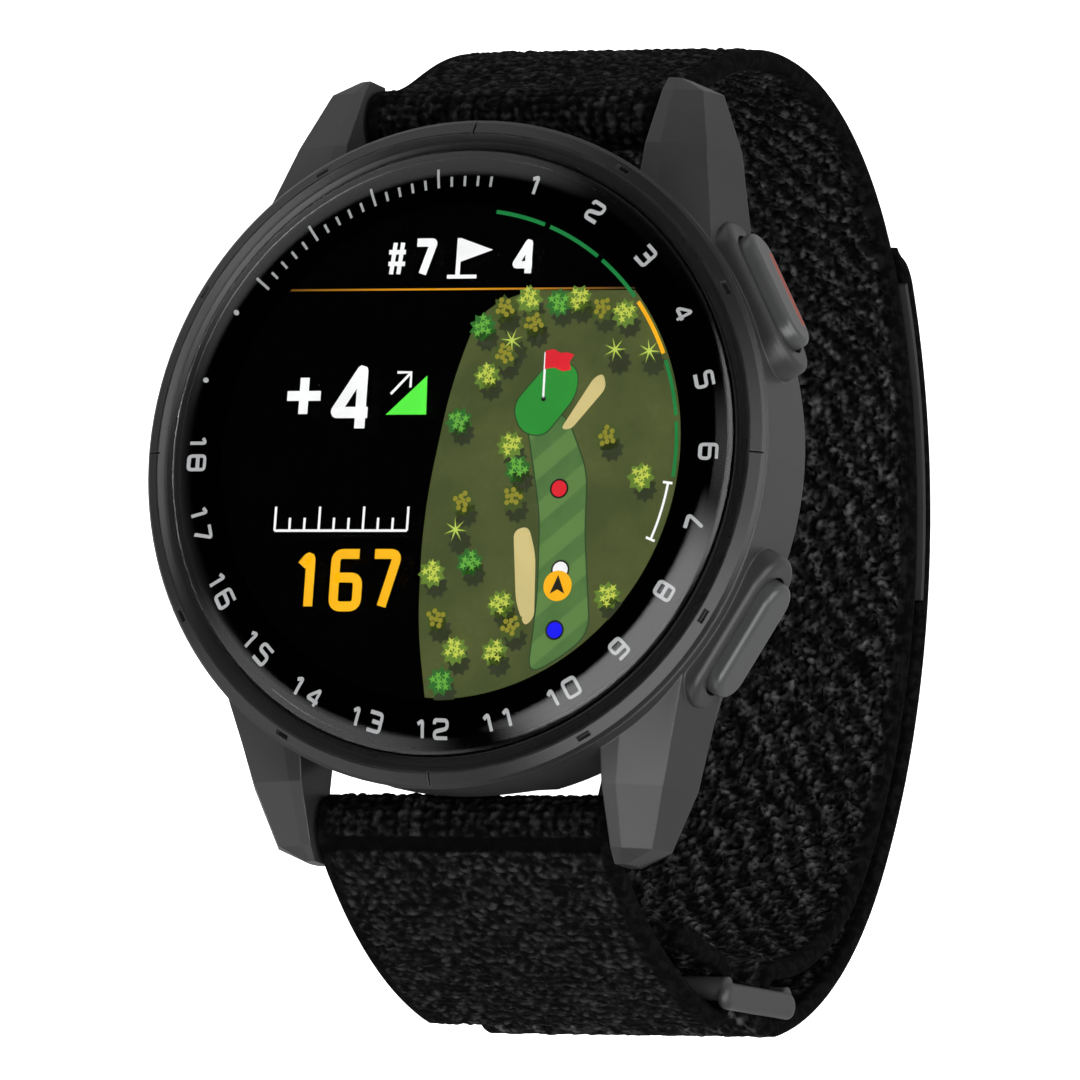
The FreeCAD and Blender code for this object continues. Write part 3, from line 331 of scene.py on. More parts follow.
def printed(name, colour, glow=1.0):
    """A print or a lit patch of the display: a flat ink with a slight mottle that also glows, which on a
    print is painted light.
    """
    material, wiring = new_material(name)
    grain = use_group(wiring, GRAIN, Scale=5200.0, Slow_Scale=420.0)
    tone = wiring.blend(grain["Variation"], shade(colour, 0.93), shade(colour, 1.04))
    return lit(material, wiring, shade(colour, 0.25), tone, glow)


def mown_stripes(name, dark, light, pitch):
    """A mown fairway: slanting stripes of two greens."""
    material, wiring = new_material(name)
    place = wiring.node("ShaderNodeTexCoord").outputs["Object"]
    lean = {"Vector": place, "Rotation": (0, 0, math.radians(50)), "Scale": (1 / pitch, 1 / pitch, 1)}
    turned = wiring.node("ShaderNodeMapping", lean).outputs["Vector"]
    across = wiring.node("ShaderNodeSeparateXYZ", {"Vector": turned}).outputs["X"]
    share = wiring.maths("FRACT", across)
    from_middle = wiring.maths("ABSOLUTE", wiring.maths("SUBTRACT", share, 0.5))
    stripe = wiring.between(from_middle, 0.22, 0.28)
    grain = use_group(wiring, GRAIN, Scale=4000.0, Slow_Scale=700.0)
    tone = wiring.blend(stripe, dark, light)
    mottled = wiring.blend(wiring.maths("MULTIPLY", grain["Variation"], 0.3), tone, shade(light, 1.1))
    return lit(material, wiring, (0.02, 0.04, 0.02, 1), mottled)


def rough_ground(name, dark, light):
    """The rough around a fairway: two olive greens in soft patches."""
    material, wiring = new_material(name)
    grain = use_group(wiring, GRAIN, Scale=2600.0, Slow_Scale=260.0)
    patches = wiring.blend(grain["Variation"], dark, light)
    speckle = wiring.between(grain["Height"], 0.3, 0.75)
    tone = wiring.blend(wiring.maths("MULTIPLY", speckle, 0.35), patches, shade(dark, 0.7))
    return lit(material, wiring, (0.02, 0.02, 0.01, 1), tone)


SLATE = (0.021, 0.021, 0.0214)
STEEL = (0.55, 0.55, 0.57)

# Each grained finish is lightened along its edges as a painted highlight, the bezel's most.
FINISHES = {
    "case_polymer": (grained, dict(
        colour=SLATE, roughness=0.36, scale=5200.0, depth=0.16, wear=3.0, specular=0.4,
        rounding=0.14 * MM)),
    "bezel_metal": (grained, dict(
        colour=(0.0085, 0.0085, 0.0088), roughness=0.28, scale=6000.0, depth=0.12, wear=8.0,
        width=0.07 * MM, specular=0.4, rounding=0.08 * MM)),
    "display_glass": (clear_glass, dict(tint=(0.97, 0.98, 0.98, 1), roughness=0.004)),
    "mask_print": (grained, dict(
        colour=(0.0006, 0.0006, 0.0007), scale=9000.0, depth=0.03, wear=1.0, specular=0.1)),
    "adhesive": (grained, dict(
        colour=(0.004, 0.004, 0.004), roughness=0.8, scale=3000.0, depth=0.3, wear=1.1)),
    "display_stack": (grained, dict(
        colour=(0.0004, 0.0004, 0.0005), scale=9000.0, depth=0.02, wear=1.1, specular=0.0)),
    "antenna_steel": (turned_metal, dict(colour=(0.6, 0.58, 0.54))),
    "frame_polymer": (grained, dict(colour=(0.02, 0.02, 0.022), roughness=0.55)),
    "board_laminate": (board_finish, {}),
    "chip_resin": (grained, dict(colour=(0.015, 0.015, 0.016), scale=7000.0, depth=0.1)),
    "ribbon_film": (grained, dict(
        colour=(0.42, 0.17, 0.03), roughness=0.3, scale=1200.0, depth=0.1, coat=0.4)),
    "battery_foil": (grained, dict(
        colour=(0.6, 0.61, 0.63), roughness=0.3, metallic=0.9, scale=900.0, depth=0.35)),
    "back_polymer": (grained, dict(
        colour=(0.014, 0.014, 0.015), roughness=0.42, scale=5200.0, depth=0.2)),
    "seal_rubber": (grained, dict(
        colour=(0.01, 0.01, 0.01), roughness=0.7, scale=3000.0, depth=0.25, wear=1.2)),
    "fastener_steel": (turned_metal, dict(colour=STEEL)),
    "contact_gold": (turned_metal, dict(colour=(0.86, 0.6, 0.22), roughness=0.2)),
    "sensor_glass": (grained, dict(
        colour=(0.004, 0.004, 0.005), roughness=0.08, scale=300.0, depth=0.02, coat=1.0)),
    "lamp_resin": (grained, dict(
        colour=(0.6, 0.62, 0.4), roughness=0.2, scale=1500.0, depth=0.1, coat=0.8)),
    "motor_copper": (turned_metal, dict(colour=(0.72, 0.32, 0.13), roughness=0.35)),
    "dense_metal": (turned_metal, dict(colour=(0.36, 0.36, 0.37), roughness=0.4)),
    "button_finish": (grained, dict(
        colour=(0.055, 0.056, 0.057), roughness=0.3, metallic=0.3, scale=6000.0, depth=0.12, wear=3.0,
        rounding=0.12 * MM)),
    "accent_red": (grained, dict(
        colour=(0.22, 0.032, 0.017), roughness=0.45, scale=6000.0, depth=0.1, wear=1.3)),
    "hook_film": (grained, dict(
        colour=(0.012, 0.012, 0.013), roughness=0.6, scale=2400.0, depth=0.8, wear=1.3)),
    "loop_polymer": (grained, dict(
        colour=(0.021, 0.021, 0.0215), roughness=0.36, scale=5200.0, depth=0.15, wear=1.5,
        rounding=0.5 * MM)),
}


def finish_hard_parts():
    """Gives each CAD node that stays visible the finish of its material slot."""
    slots = {part["node"]: part["material_slot"] for part in frame["record"]["subparts"]}
    made = {}
    for name, part in frame["nodes"].items():
        finish = slots[name]
        if finish not in FINISHES:
            continue
        if finish not in made:
            maker, settings = FINISHES[finish]
            made[finish] = maker(finish, **settings)
        part.data.materials.clear()
        part.data.materials.append(made[finish])


SPRINGS = [
    ("upper_button_spring", "upper_push", "upper_button_press", -1),
    ("lower_button_spring", "lower_push", "lower_button_press", -1),
    ("upper_bar_spring", UPPER_BAND, "upper_bar_release", 1),
    ("lower_bar_spring", LOWER_BAND, "lower_bar_release", 1),
]


def return_springs():
    """The coils of the buttons and release levers, each copied from its CAD node to ride on a body."""
    steel = bpy.data.materials["fastener_steel"]
    for name, body, joint, seat in SPRINGS:
        coil = frame["nodes"][name]
        points = [coil.matrix_world @ vertex.co for vertex in coil.data.vertices]
        faces = [tuple(face.vertices) for face in coil.data.polygons]
        piece = mesh_piece(name.replace("spring", "coil"), points, faces, steel, body)
        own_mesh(piece)
        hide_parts(name)


# Strap.

FABRIC = 1.2 * MM
KNIT = 0
PILE = 1
HALF_WIDTH = 10.0 * MM
ROLL_RADIUS = 1.95 * MM
ROLL_FABRIC = 1.0 * MM
BAR_Y = 22.2 * MM
BAR_Z = 3.2 * MM
STEP = 0.12 * MM
SELVEDGE = 0.85 * MM
EDGE_ROUND = 0.3 * MM
EDGE_POINTS = 5
YARN_RISE = 0.34 * MM
PILE_RISE = 0.60 * MM


def unit(angle):
    """Unit vectors in the strap's side view at angles in degrees."""
    turned = np.radians(np.asarray(angle, float))
    return np.stack([np.cos(turned), np.sin(turned)], -1)


class StrapPath:
    """The strap's knitted face seen from the side, as points, face normals and thicknesses."""

    def __init__(self, left):
        self.side = 1 if left else -1
        self.points = np.zeros((0, 2))
        self.normals = np.zeros((0, 2))
        self.depths = np.zeros(0)

    def add(self, points, normals, depth):
        fresh = slice(1 if len(self.points) else 0, None)
        self.points = np.concatenate([self.points, points[fresh]])
        self.normals = np.concatenate([self.normals, normals[fresh]])
        last = self.depths[-1] if len(self.depths) else depth
        ramp = last + (depth - last) * np.clip(np.linspace(0, 3, len(points)), 0, 1)
        self.depths = np.concatenate([self.depths, ramp[fresh]])
        return self

    def arc(self, centre, radius, start, end, depth=FABRIC):
        count = max(3, round(abs(math.radians(end - start)) * radius / STEP) + 1)
        around = unit(np.linspace(start, end, count))
        turning_left = end > start
        outward = 1 if turning_left != (self.side > 0) else -1
        return self.add(np.asarray(centre) + radius * around, outward * around, depth)

    def line(self, length, depth=FABRIC):
        count = round(length / STEP) + 1
        along = self.heading()
        points = self.points[-1] + np.linspace(0, length, count)[:, None] * along
        return self.add(points, np.repeat(self.normals[-1:], count, 0), depth)

    def bridge(self, end, end_angle, bulge, depth=FABRIC):
        """A smooth run to a point where the face's normal has the given angle."""
        first = self.points[-1]
        end = np.asarray(end)
        ahead = unit(end_angle - 90 * self.side)
        reach = bulge * np.linalg.norm(end - first)
        handles = [first, first + self.heading() * reach, end - ahead * reach, end]
        count = max(4, round(np.linalg.norm(end - first) / STEP) + 1)
        share = np.linspace(0, 1, count)[:, None]
        weights = [(1 - share) ** 3, 3 * share * (1 - share) ** 2, 3 * share ** 2 * (1 - share), share ** 3]
        points = sum(w * h for w, h in zip(weights, handles))
        along = np.gradient(points, axis=0)
        along /= np.linalg.norm(along, axis=1)[:, None]
        normals = self.side * np.stack([-along[:, 1], along[:, 0]], -1)
        return self.add(points, normals, depth)

    def heading(self):
        normal = self.normals[-1]
        return self.side * np.array([normal[1], -normal[0]])

    def lengths(self):
        steps = np.linalg.norm(np.diff(self.points, axis=0), axis=1)
        return np.concatenate([[0], np.cumsum(steps)])


def scattered(i, j, seed):
    """A repeatable random value from 0 to 1 for each cell of a lattice."""
    value = np.sin(i * 127.1 + j * 311.7 + seed * 74.7) * 43758.5453
    return value - np.floor(value)


def tufts(along, across, pitch, shape, seed):
    """The highest of the tufts that stand on a jittered lattice, with rows offset like brickwork."""
    height = np.zeros(np.broadcast(along, across).shape)
    row = np.floor(along / pitch[0])
    for d_row in (-1, 0, 1):
        i = row + d_row
        shift = 0.5 * np.mod(i, 2)
        column = np.floor(across / pitch[1] - shift)
        for d_column in (-1, 0, 1):
            j = column + d_column
            u = along / pitch[0] - i - 0.5 - 0.5 * (scattered(i, j, seed) - 0.5)
            v = across / pitch[1] - shift - j - 0.5 - 0.5 * (scattered(i, j, seed + 1) - 0.5)
            turn = scattered(i, j, seed + 2)
            level = 0.55 + 0.45 * scattered(i, j, seed + 3)
            height = np.maximum(height, level * shape(u * pitch[0] / MM, v * pitch[1] / MM, turn))
    return height


def stitch_shape(u, v, turn):
    """A plump knitted stitch that leans either way across the strap."""
    angle = np.radians(-55 + 95 * turn)
    along = v * np.cos(angle) + u * np.sin(angle)
    across = u * np.cos(angle) - v * np.sin(angle)
    return np.clip(1 - (along / 0.50) ** 2 - (across / 0.27) ** 2, 0, 1) ** 0.6


def loop_shape(u, v, turn):
    """A curl of looped pile: a ridge bent round a small hollow."""
    angle = np.radians(360 * turn)
    x = v * np.cos(angle) + u * np.sin(angle)
    y = u * np.cos(angle) - v * np.sin(angle)
    ring = np.sqrt(x ** 2 + (1.25 * y) ** 2)
    ridge = np.clip(1 - ((ring - 0.26) / 0.15) ** 2, 0, 1)
    gap = np.clip((x + 0.34) / 0.22, 0, 1)
    return ridge ** 0.7 * (0.35 + 0.65 * gap)


def knitted(along, across):
    """Heights from 0 to 1 of the strap's outer face."""
    coarse = tufts(along, across, (0.58 * MM, 0.82 * MM), stitch_shape, 3)
    fine = tufts(along, across, (0.33 * MM, 0.46 * MM), stitch_shape, 17)
    return 0.1 + 0.9 * np.maximum(coarse, 0.5 * fine)


def looped(along, across):
    """Heights from 0 to 1 of the looped inner face, whose loops stand in slanting ribs."""
    slant = math.radians(33)
    down = along * math.cos(slant) + across * math.sin(slant)
    over = across * math.cos(slant) - along * math.sin(slant)
    wander = 0.25 * MM * np.sin(down / (3.1 * MM)) + 0.2 * MM * np.sin(down / (1.3 * MM) + 2)
    rib = 0.5 + 0.5 * np.cos(2 * math.pi * (over + wander) / (1.8 * MM))
    curls = tufts(down, over, (0.62 * MM, 0.70 * MM), loop_shape, 11)
    strands = tufts(down, over, (0.52 * MM, 0.66 * MM), stitch_shape, 23)
    return (0.52 + 0.48 * rib) * np.maximum(0.85 * curls, strands)


def ribbed_roll(along, across):
    """Heights of the fabric where it is stretched round a bar: broken ribs that run along the strap."""
    width = 0.9 * MM
    column = np.floor(across / width)
    inside = across / width - column
    level = 0.35 + 0.65 * scattered(column, 0 * column, 5)
    ridge = np.clip(1 - ((inside - 0.5) / 0.42) ** 2, 0, 1) ** 0.5
    return 0.45 * level * ridge + 0.55 * tufts(along, across, (0.6 * MM, 0.7 * MM), stitch_shape, 31)


def fade(values, start, end):
    """Rises smoothly from 0 at start to 1 at end."""
    share = np.clip((values - start) / (end - start), 0, 1)
    return share * share * (3 - 2 * share)


def strap_piece(name, path, material, body, weld=None, roll_end=None, pile_rise=PILE_RISE,
                flat_from=None):
    """A closed strip of fabric that follows a path, knitted on one face and looped on the other.

    The fabric is pressed flat between the two weld lengths, ribbed up to roll_end, and its looped
    face is nearly smooth after flat_from.
    """
    lengths = path.lengths()
    half = HALF_WIDTH - EDGE_ROUND
    columns = round(2 * half / STEP) + 1
    across = np.linspace(-half, half, columns)
    s, x = np.meshgrid(lengths, across, indexing="ij")
    plain = fade(HALF_WIDTH - np.abs(x), SELVEDGE - 0.12 * MM, SELVEDGE + 0.12 * MM)
    near = knitted(s, x)
    far = looped(s, x)
    if roll_end is not None:
        rolled = 1 - fade(s, roll_end - 0.4 * MM, roll_end)
        near = near * (1 - rolled) + ribbed_roll(s, x) * rolled
    sink = np.zeros_like(s)
    if weld is not None:
        welded = fade(s, weld[0], weld[0] + 0.15 * MM) * (1 - fade(s, weld[1] - 0.15 * MM, weld[1]))
        sink = 0.12 * MM * welded
        near = near * (1 - welded) + 0.2 * welded
    near_rise = YARN_RISE * (near * plain - 0.5 * plain) - sink
    far_rise = pile_rise * (far * plain - 0.45 * plain)
    if flat_from is not None:
        far_rise = far_rise * (1 - 0.75 * fade(s, flat_from - 2 * MM, flat_from))
    rim = np.linspace(0, math.pi, EDGE_POINTS + 2)[1:-1]
    sections = []
    reliefs = []
    for i in range(len(lengths)):
        depth = path.depths[i]
        edge_x = half + EDGE_ROUND * np.sin(rim)
        edge_d = depth / 2 * (1 - np.cos(rim))
        offset = np.concatenate([-near_rise[i], edge_d, (depth + far_rise[i])[::-1], edge_d[::-1]])
        side = np.concatenate([across, edge_x, across[::-1], -edge_x[::-1]])
        flat = path.points[i] - offset[:, None] * path.normals[i]
        sections.append(np.column_stack([side, flat]))
        quiet = np.full(EDGE_POINTS, 0.3)
        reliefs.append(np.concatenate([near[i] * plain[i] + 0.3 * (1 - plain[i]), quiet,
                                       (far[i] * plain[i] + 0.3 * (1 - plain[i]))[::-1], quiet]))
    points = np.concatenate(sections)
    around = len(sections[0])
    faces = strip_faces(len(sections), around, columns)
    if path.side > 0:
        faces = [face[::-1] for face in faces]
    piece = mesh_piece(name, points, faces, material[KNIT], body)
    piece.data.materials.append(material[PILE])
    band = np.zeros(around, int)
    band[columns + EDGE_POINTS:2 * columns + EDGE_POINTS] = PILE
    chosen = np.zeros(len(faces), int)
    chosen[:(len(sections) - 1) * around] = np.tile(band, len(sections) - 1)
    piece.data.polygons.foreach_set("material_index", chosen)
    set_relief(piece, np.concatenate(reliefs))
    return piece


def strip_faces(rows, around, columns):
    """Quads round and along a closed strip, with its two ends filled."""
    faces = []
    for i in range(rows - 1):
        low = i * around
        for j in range(around):
            k = (j + 1) % around
            faces.append((low + j, low + k, low + around + k, low + around + j))
    for start, flip in ((0, True), ((rows - 1) * around, False)):
        opposite = 2 * columns + EDGE_POINTS - 1
        for j in range(columns - 1):
            face = (start + j, start + j + 1, start + opposite - j - 1, start + opposite - j)
            faces.append(face[::-1] if flip else face)
        for first, last in ((columns - 1, columns + EDGE_POINTS), (opposite, around)):
            rim = [start + k % around for k in range(first, last + 1)]
            faces.append(tuple(rim[::-1]) if flip else tuple(rim))
    return faces


def lever_opening(piece, side):
    """Cuts the window that the quick-release lever moves in through a strap's rolled end."""
    tip = "upper_bar_release_tip" if side > 0 else "lower_bar_release_tip"
    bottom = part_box(tip)[0].z - MM
    top = BAR_Z - 0.2 * MM
    travel = 1.25 * MM
    room = 0.5 * MM
    half_width = 0.9 * MM
    bar_y = side * BAR_Y
    lever = [v.co.x for v in frame["nodes"][tip].data.vertices if v.co.z < BAR_Z - ROLL_RADIUS]
    left = min(lever) - travel - room
    right = max(lever) + room
    corners = [(left, right), (bar_y - half_width, bar_y + half_width), (bottom, top)]
    points = [(x, y, z) for x in corners[0] for y in corners[1] for z in corners[2]]
    faces = [(0, 1, 3, 2), (4, 6, 7, 5), (0, 4, 5, 1), (2, 3, 7, 6), (0, 2, 6, 4), (1, 5, 7, 3)]
    cutter = mesh_piece("lever_cutter", points, faces, piece.data.materials[0], None, False)
    trim = piece.modifiers.new("lever window", "BOOLEAN")
    trim.object = cutter
    trim.operation = "DIFFERENCE"
    trim.solver = "MANIFOLD"
    evaluated = piece.evaluated_get(bpy.context.evaluated_depsgraph_get())
    mesh = bpy.data.meshes.new_from_object(evaluated)
    piece.modifiers.clear()
    piece.data = mesh
    bpy.data.objects.remove(cutter)


BACK_CENTRE = np.array([5.6, -14.35]) * MM
BACK_RADIUS = 24.0 * MM
BACK_END = -56.0
BOTTOM_RADIUS = 36.2 * MM
BOTTOM_END = -118.5
LOOP_RADIUS = 18.4 * MM
LOOP_END = -172.2
TAIL_END = -51.5
LOOP_BAR_RADIUS = 0.75 * MM
LOOP_BAR_GAP = 0.45 * MM
TAIL_GAP = 1.0 * MM
LOWER_CENTRE = np.array([0.0, -17.5]) * MM
LOWER_RADIUS = 32.5 * MM
LOWER_END = 172.0
FLAP_LENGTH = 6.5 * MM

BOTTOM_CENTRE = BACK_CENTRE + (BACK_RADIUS - BOTTOM_RADIUS) * unit(BACK_END)
LOOP_CENTRE = BOTTOM_CENTRE + (BOTTOM_RADIUS - LOOP_RADIUS) * unit(BOTTOM_END)
FOLD_INNER = LOOP_BAR_RADIUS + LOOP_BAR_GAP
FOLD_OUTER = FOLD_INNER + FABRIC
UPPER_LOOP_BAR = LOOP_CENTRE + (LOOP_RADIUS + FOLD_INNER) * unit(LOOP_END)
LOWER_LOOP_BAR = LOWER_CENTRE + (LOWER_RADIUS - FOLD_OUTER) * unit(LOWER_END)


def tail_bend():
    """The tail's last bend: tangent to the bottom bend and to the outside of the fold."""
    join = BOTTOM_CENTRE + (BOTTOM_RADIUS + TAIL_GAP + FABRIC) * unit(BOTTOM_END)
    across = UPPER_LOOP_BAR - join
    radius = (FOLD_OUTER ** 2 - across @ across) / (2 * (across @ unit(BOTTOM_END) + FOLD_OUTER))
    centre = join - radius * unit(BOTTOM_END)
    to_bar = UPPER_LOOP_BAR - centre
    return centre, radius, math.degrees(math.atan2(to_bar[1], to_bar[0]))


def upper_strap(yarn):
    """From the roll at 12 o'clock round the wrist and over the loop's far bar."""
    bar = np.array([BAR_Y, BAR_Z])
    path = StrapPath(left=True)
    path.arc(bar, ROLL_RADIUS, 312, 6, ROLL_FABRIC)
    roll_end = path.lengths()[-1]
    path.bridge(BACK_CENTRE + BACK_RADIUS * unit(24), 24, 0.36)
    path.arc(BACK_CENTRE, BACK_RADIUS, 24, BACK_END)
    path.arc(BOTTOM_CENTRE, BOTTOM_RADIUS, BACK_END, BOTTOM_END)
    path.arc(LOOP_CENTRE, LOOP_RADIUS, BOTTOM_END, LOOP_END)
    fold_start = path.lengths()[-1]
    fold_end = tail_bend()[2] % 360
    path.arc(UPPER_LOOP_BAR, FOLD_INNER, LOOP_END + 180, fold_end)
    piece = strap_piece("woven_upper_strap", path, yarn, UPPER_BAND,
                        weld=(roll_end, roll_end + 1.0 * MM), roll_end=roll_end, flat_from=fold_start)
    lever_opening(piece, 1)
    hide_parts("upper_strap")


def strap_tail(yarn):
    """The hook-and-loop tail that lies back along the outside of the upper strap."""
    centre, radius, start = tail_bend()
    path = StrapPath(left=True)
    path.arc(centre, radius - FABRIC, start, BOTTOM_END)
    path.arc(BOTTOM_CENTRE, BOTTOM_RADIUS + TAIL_GAP, BOTTOM_END, BACK_END)
    path.arc(BACK_CENTRE, BACK_RADIUS + TAIL_GAP, BACK_END, TAIL_END)
    end = path.lengths()[-1]
    path.depths -= 0.65 * MM * fade(path.lengths(), end - 1.8 * MM, end)
    path.points += 0.75 * MM * fade(path.lengths(), end - 3.0 * MM, end)[:, None] * path.normals
    piece = strap_piece("woven_tail", path, yarn, None, weld=(end - 1.6 * MM, end - 0.2 * MM),
                        pile_rise=0.2 * MM)
    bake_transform(piece)
    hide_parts("strap_tail")


def lower_strap(yarn):
    """The short strap from 6 o'clock to the loop's near bar, folded back inside."""
    bar = np.array([-BAR_Y, BAR_Z])
    path = StrapPath(left=False)
    path.arc(bar, ROLL_RADIUS, -130, 122, ROLL_FABRIC)
    roll_end = path.lengths()[-1]
    path.bridge(LOWER_CENTRE + LOWER_RADIUS * unit(144), 144, 0.36)
    path.arc(LOWER_CENTRE, LOWER_RADIUS, 144, LOWER_END)
    path.arc(LOWER_LOOP_BAR, FOLD_OUTER, LOWER_END, LOWER_END + 180)
    path.line(FLAP_LENGTH)
    piece = strap_piece("woven_lower_strap", path, yarn, LOWER_BAND,
                        weld=(roll_end - 0.2 * MM, roll_end + 1.0 * MM), roll_end=roll_end)
    lever_opening(piece, -1)
    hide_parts("lower_strap")


# Flat figures: strokes and patches in the plane of the display.

DIGITS = {
    "0": [[(0, 0.5), (0, 1), (1, 1), (1, 0), (0, 0), (0, 0.5)]],
    "1": [[(0.2, 0.78), (0.58, 1), (0.58, 0)]],
    "2": [[(0, 0.78), (0, 1), (1, 1), (1, 0.55), (0, 0.38), (0, 0), (1, 0)]],
    "3": [[(0, 1), (1, 1), (1, 0), (0, 0)], [(0.3, 0.52), (1, 0.52)]],
    "4": [[(0.78, 0), (0.78, 1), (0, 0.27), (1, 0.27)]],
    "5": [[(1, 1), (0, 1), (0, 0.56), (1, 0.56), (1, 0), (0, 0)]],
    "6": [[(1, 1), (0, 1), (0, 0), (1, 0), (1, 0.55), (0, 0.55)]],
    "7": [[(0, 1), (1, 1), (0.42, 0)]],
    "8": [[(0, 0.5), (0, 1), (1, 1), (1, 0), (0, 0), (0, 0.5)], [(0, 0.52), (1, 0.52)]],
    "9": [[(0, 0), (1, 0), (1, 1), (0, 1), (0, 0.45), (1, 0.45)]],
    "+": [[(0, 0.5), (1, 0.5)], [(0.5, 0), (0.5, 1)]],
    "#": [[(0, 0.33), (1, 0.33)], [(0, 0.7), (1, 0.7)], [(0.2, 0), (0.36, 1)], [(0.64, 0), (0.8, 1)]],
}
THIN_FIGURES = {"#": 0.55, "4": 0.88}
LAYER = 0.004 * MM


def rounded_line(points, radius):
    """A line whose corners are replaced by short curves."""
    points = [np.array(p, float) for p in points]
    out = [points[0]]
    for before, corner, after in zip(points, points[1:], points[2:]):
        first = before - corner
        second = after - corner
        reach = min(radius, np.linalg.norm(first) * 0.49, np.linalg.norm(second) * 0.49)
        start = corner + first / np.linalg.norm(first) * reach
        end = corner + second / np.linalg.norm(second) * reach
        for t in np.linspace(0, 1, 6):
            out.append((1 - t) ** 2 * start + 2 * t * (1 - t) * corner + t ** 2 * end)
    out.append(points[-1])
    return np.array(out)


def ribbon(points, width):
    """The left and right edges of a line of some width, as points and quads."""
    along = np.gradient(points, axis=0)
    closed = np.allclose(points[0], points[-1])
    if closed:
        along[0] = along[-1] = points[1] - points[-2]
    along /= np.maximum(np.linalg.norm(along, axis=1), 1e-12)[:, None]
    sideways = np.stack([-along[:, 1], along[:, 0]], -1) * width / 2
    edges = np.stack([points + sideways, points - sideways], 1).reshape(-1, 2)
    faces = [(2 * i, 2 * i + 1, 2 * i + 3, 2 * i + 2) for i in range(len(points) - 1)]
    return edges, faces


class Picture:
    """Collects flat figures of one colour into one mesh at one height."""

    def __init__(self, level):
        self.level = level
        self.points = []
        self.faces = []

    def add(self, points, faces, lift=0):
        base = len(self.points)
        self.points += [(x, y, self.level + lift * LAYER) for x, y in points]
        self.faces += [tuple(base + i for i in face) for face in faces]
        return self

    def patch(self, outline, lift=0):
        return self.add(outline, [range(len(outline))], lift)

    def line(self, points, width, lift=0):
        edges, faces = ribbon(np.asarray(points, float), width)
        return self.add(edges, faces, lift)

    def disc(self, x, y, radius, lift=0, count=32):
        around = np.linspace(0, 2 * math.pi, count, endpoint=False)
        return self.patch([(x + radius * math.cos(a), y + radius * math.sin(a)) for a in around], lift)

    def figures(self, text, x, y, height, width, stroke, space, corner, turn=0.0):
        """Digits drawn with strokes; x and y are the text's lower left corner, or its centre if turned."""
        total = len(text) * width + (len(text) - 1) * space
        for place, figure in enumerate(text):
            for number, points in enumerate(DIGITS[figure]):
                scaled = [(px * (width - stroke) + stroke / 2, py * (height - stroke) + stroke / 2)
                          for px, py in points]
                line = rounded_line(scaled, corner)
                line[:, 0] += place * (width + space)
                if turn is None:
                    line += (x, y)
                else:
                    line -= (total / 2, height / 2)
                    c, s = math.cos(turn), math.sin(turn)
                    line = line @ np.array([[c, s], [-s, c]]) + (x, y)
                self.line(line, stroke * THIN_FIGURES.get(figure, 1.0), number)
        return self

    def piece(self, name, material, slot="display_stack"):
        made = mesh_piece(name, self.points, self.faces, material, CASE, False)
        turn_up(made)
        return made


def turn_up(piece):
    """Turns every face of a flat figure to look out of the display."""
    for polygon in piece.data.polygons:
        if polygon.normal.z < 0:
            polygon.flip()
    piece.data.update()


def around_dial(bearing, radius):
    """A point at a clock bearing in degrees and a distance from the centre, in metres."""
    angle = math.radians(bearing)
    return radius * math.sin(angle), radius * math.cos(angle)


def dial_arc(start, end, radius, count=24):
    return [around_dial(b, radius) for b in np.linspace(start, end, count)]


def print_dial():
    """The numbers, dots and fine scale printed under the edge of the glass."""
    # The dial's prints sit under the glass yet glow a little: painted light.
    ink = printed("dial_ink", (0.62, 0.63, 0.64), 0.5)
    fine_ink = printed("fine_dial_ink", (0.5, 0.51, 0.52), 0.5)
    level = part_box("lens_glass")[0].z + 0.02 * MM
    radius = 17.15 * MM
    numbers = Picture(level)
    for number in range(1, 19):
        bearing = 15 * number
        x, y = around_dial(bearing, radius)
        lean = -math.radians(bearing if bearing < 100 or bearing > 280 else bearing + 180)
        numbers.figures(str(number), x, y, 1.15 * MM, 1.06 * MM, 0.21 * MM, 0.24 * MM, 0.2 * MM, lean)
    numbers.piece("dial_numbers", ink, "mask_print")
    marks = Picture(level)
    for bearing in (285, 300):
        marks.disc(*around_dial(bearing, 17.5 * MM), 0.16 * MM)
    marks.piece("dial_dots", ink, "mask_print")
    scale = Picture(level)
    foot = radius - 0.5 * MM
    for step in range(20):
        bearing = 308 + step * 3
        length = 1.0 * MM if step % 5 == 0 else 0.55 * MM
        scale.line([around_dial(bearing, foot), around_dial(bearing, foot + length)], 0.17 * MM)
    scale.piece("dial_scale", fine_ink, "mask_print")


VIEW_RADIUS = 15.4 * MM


def mm_points(points):
    return [(x * MM, y * MM) for x, y in points]


def smooth_outline(points, corner):
    """A closed outline with rounded corners, in metres, from corners in millimetres."""
    ring = mm_points(points)
    middle = ((ring[0][0] + ring[-1][0]) / 2, (ring[0][1] + ring[-1][1]) / 2)
    return rounded_line([middle] + ring + [middle], corner * MM)[:-1]


def map_outline():
    """The map fills the display's right half, behind a curved left edge."""
    left = rounded_line(mm_points([(4.6, 10.1), (1.3, 8.9), (-0.3, 4.2), (-1.6, -4.0), (-1.4, -11.0),
                                   (-0.6, -15.3)]), 4 * MM)
    right = dial_arc(177.5, 49.2, VIEW_RADIUS, 64)
    return [tuple(p) for p in left] + right


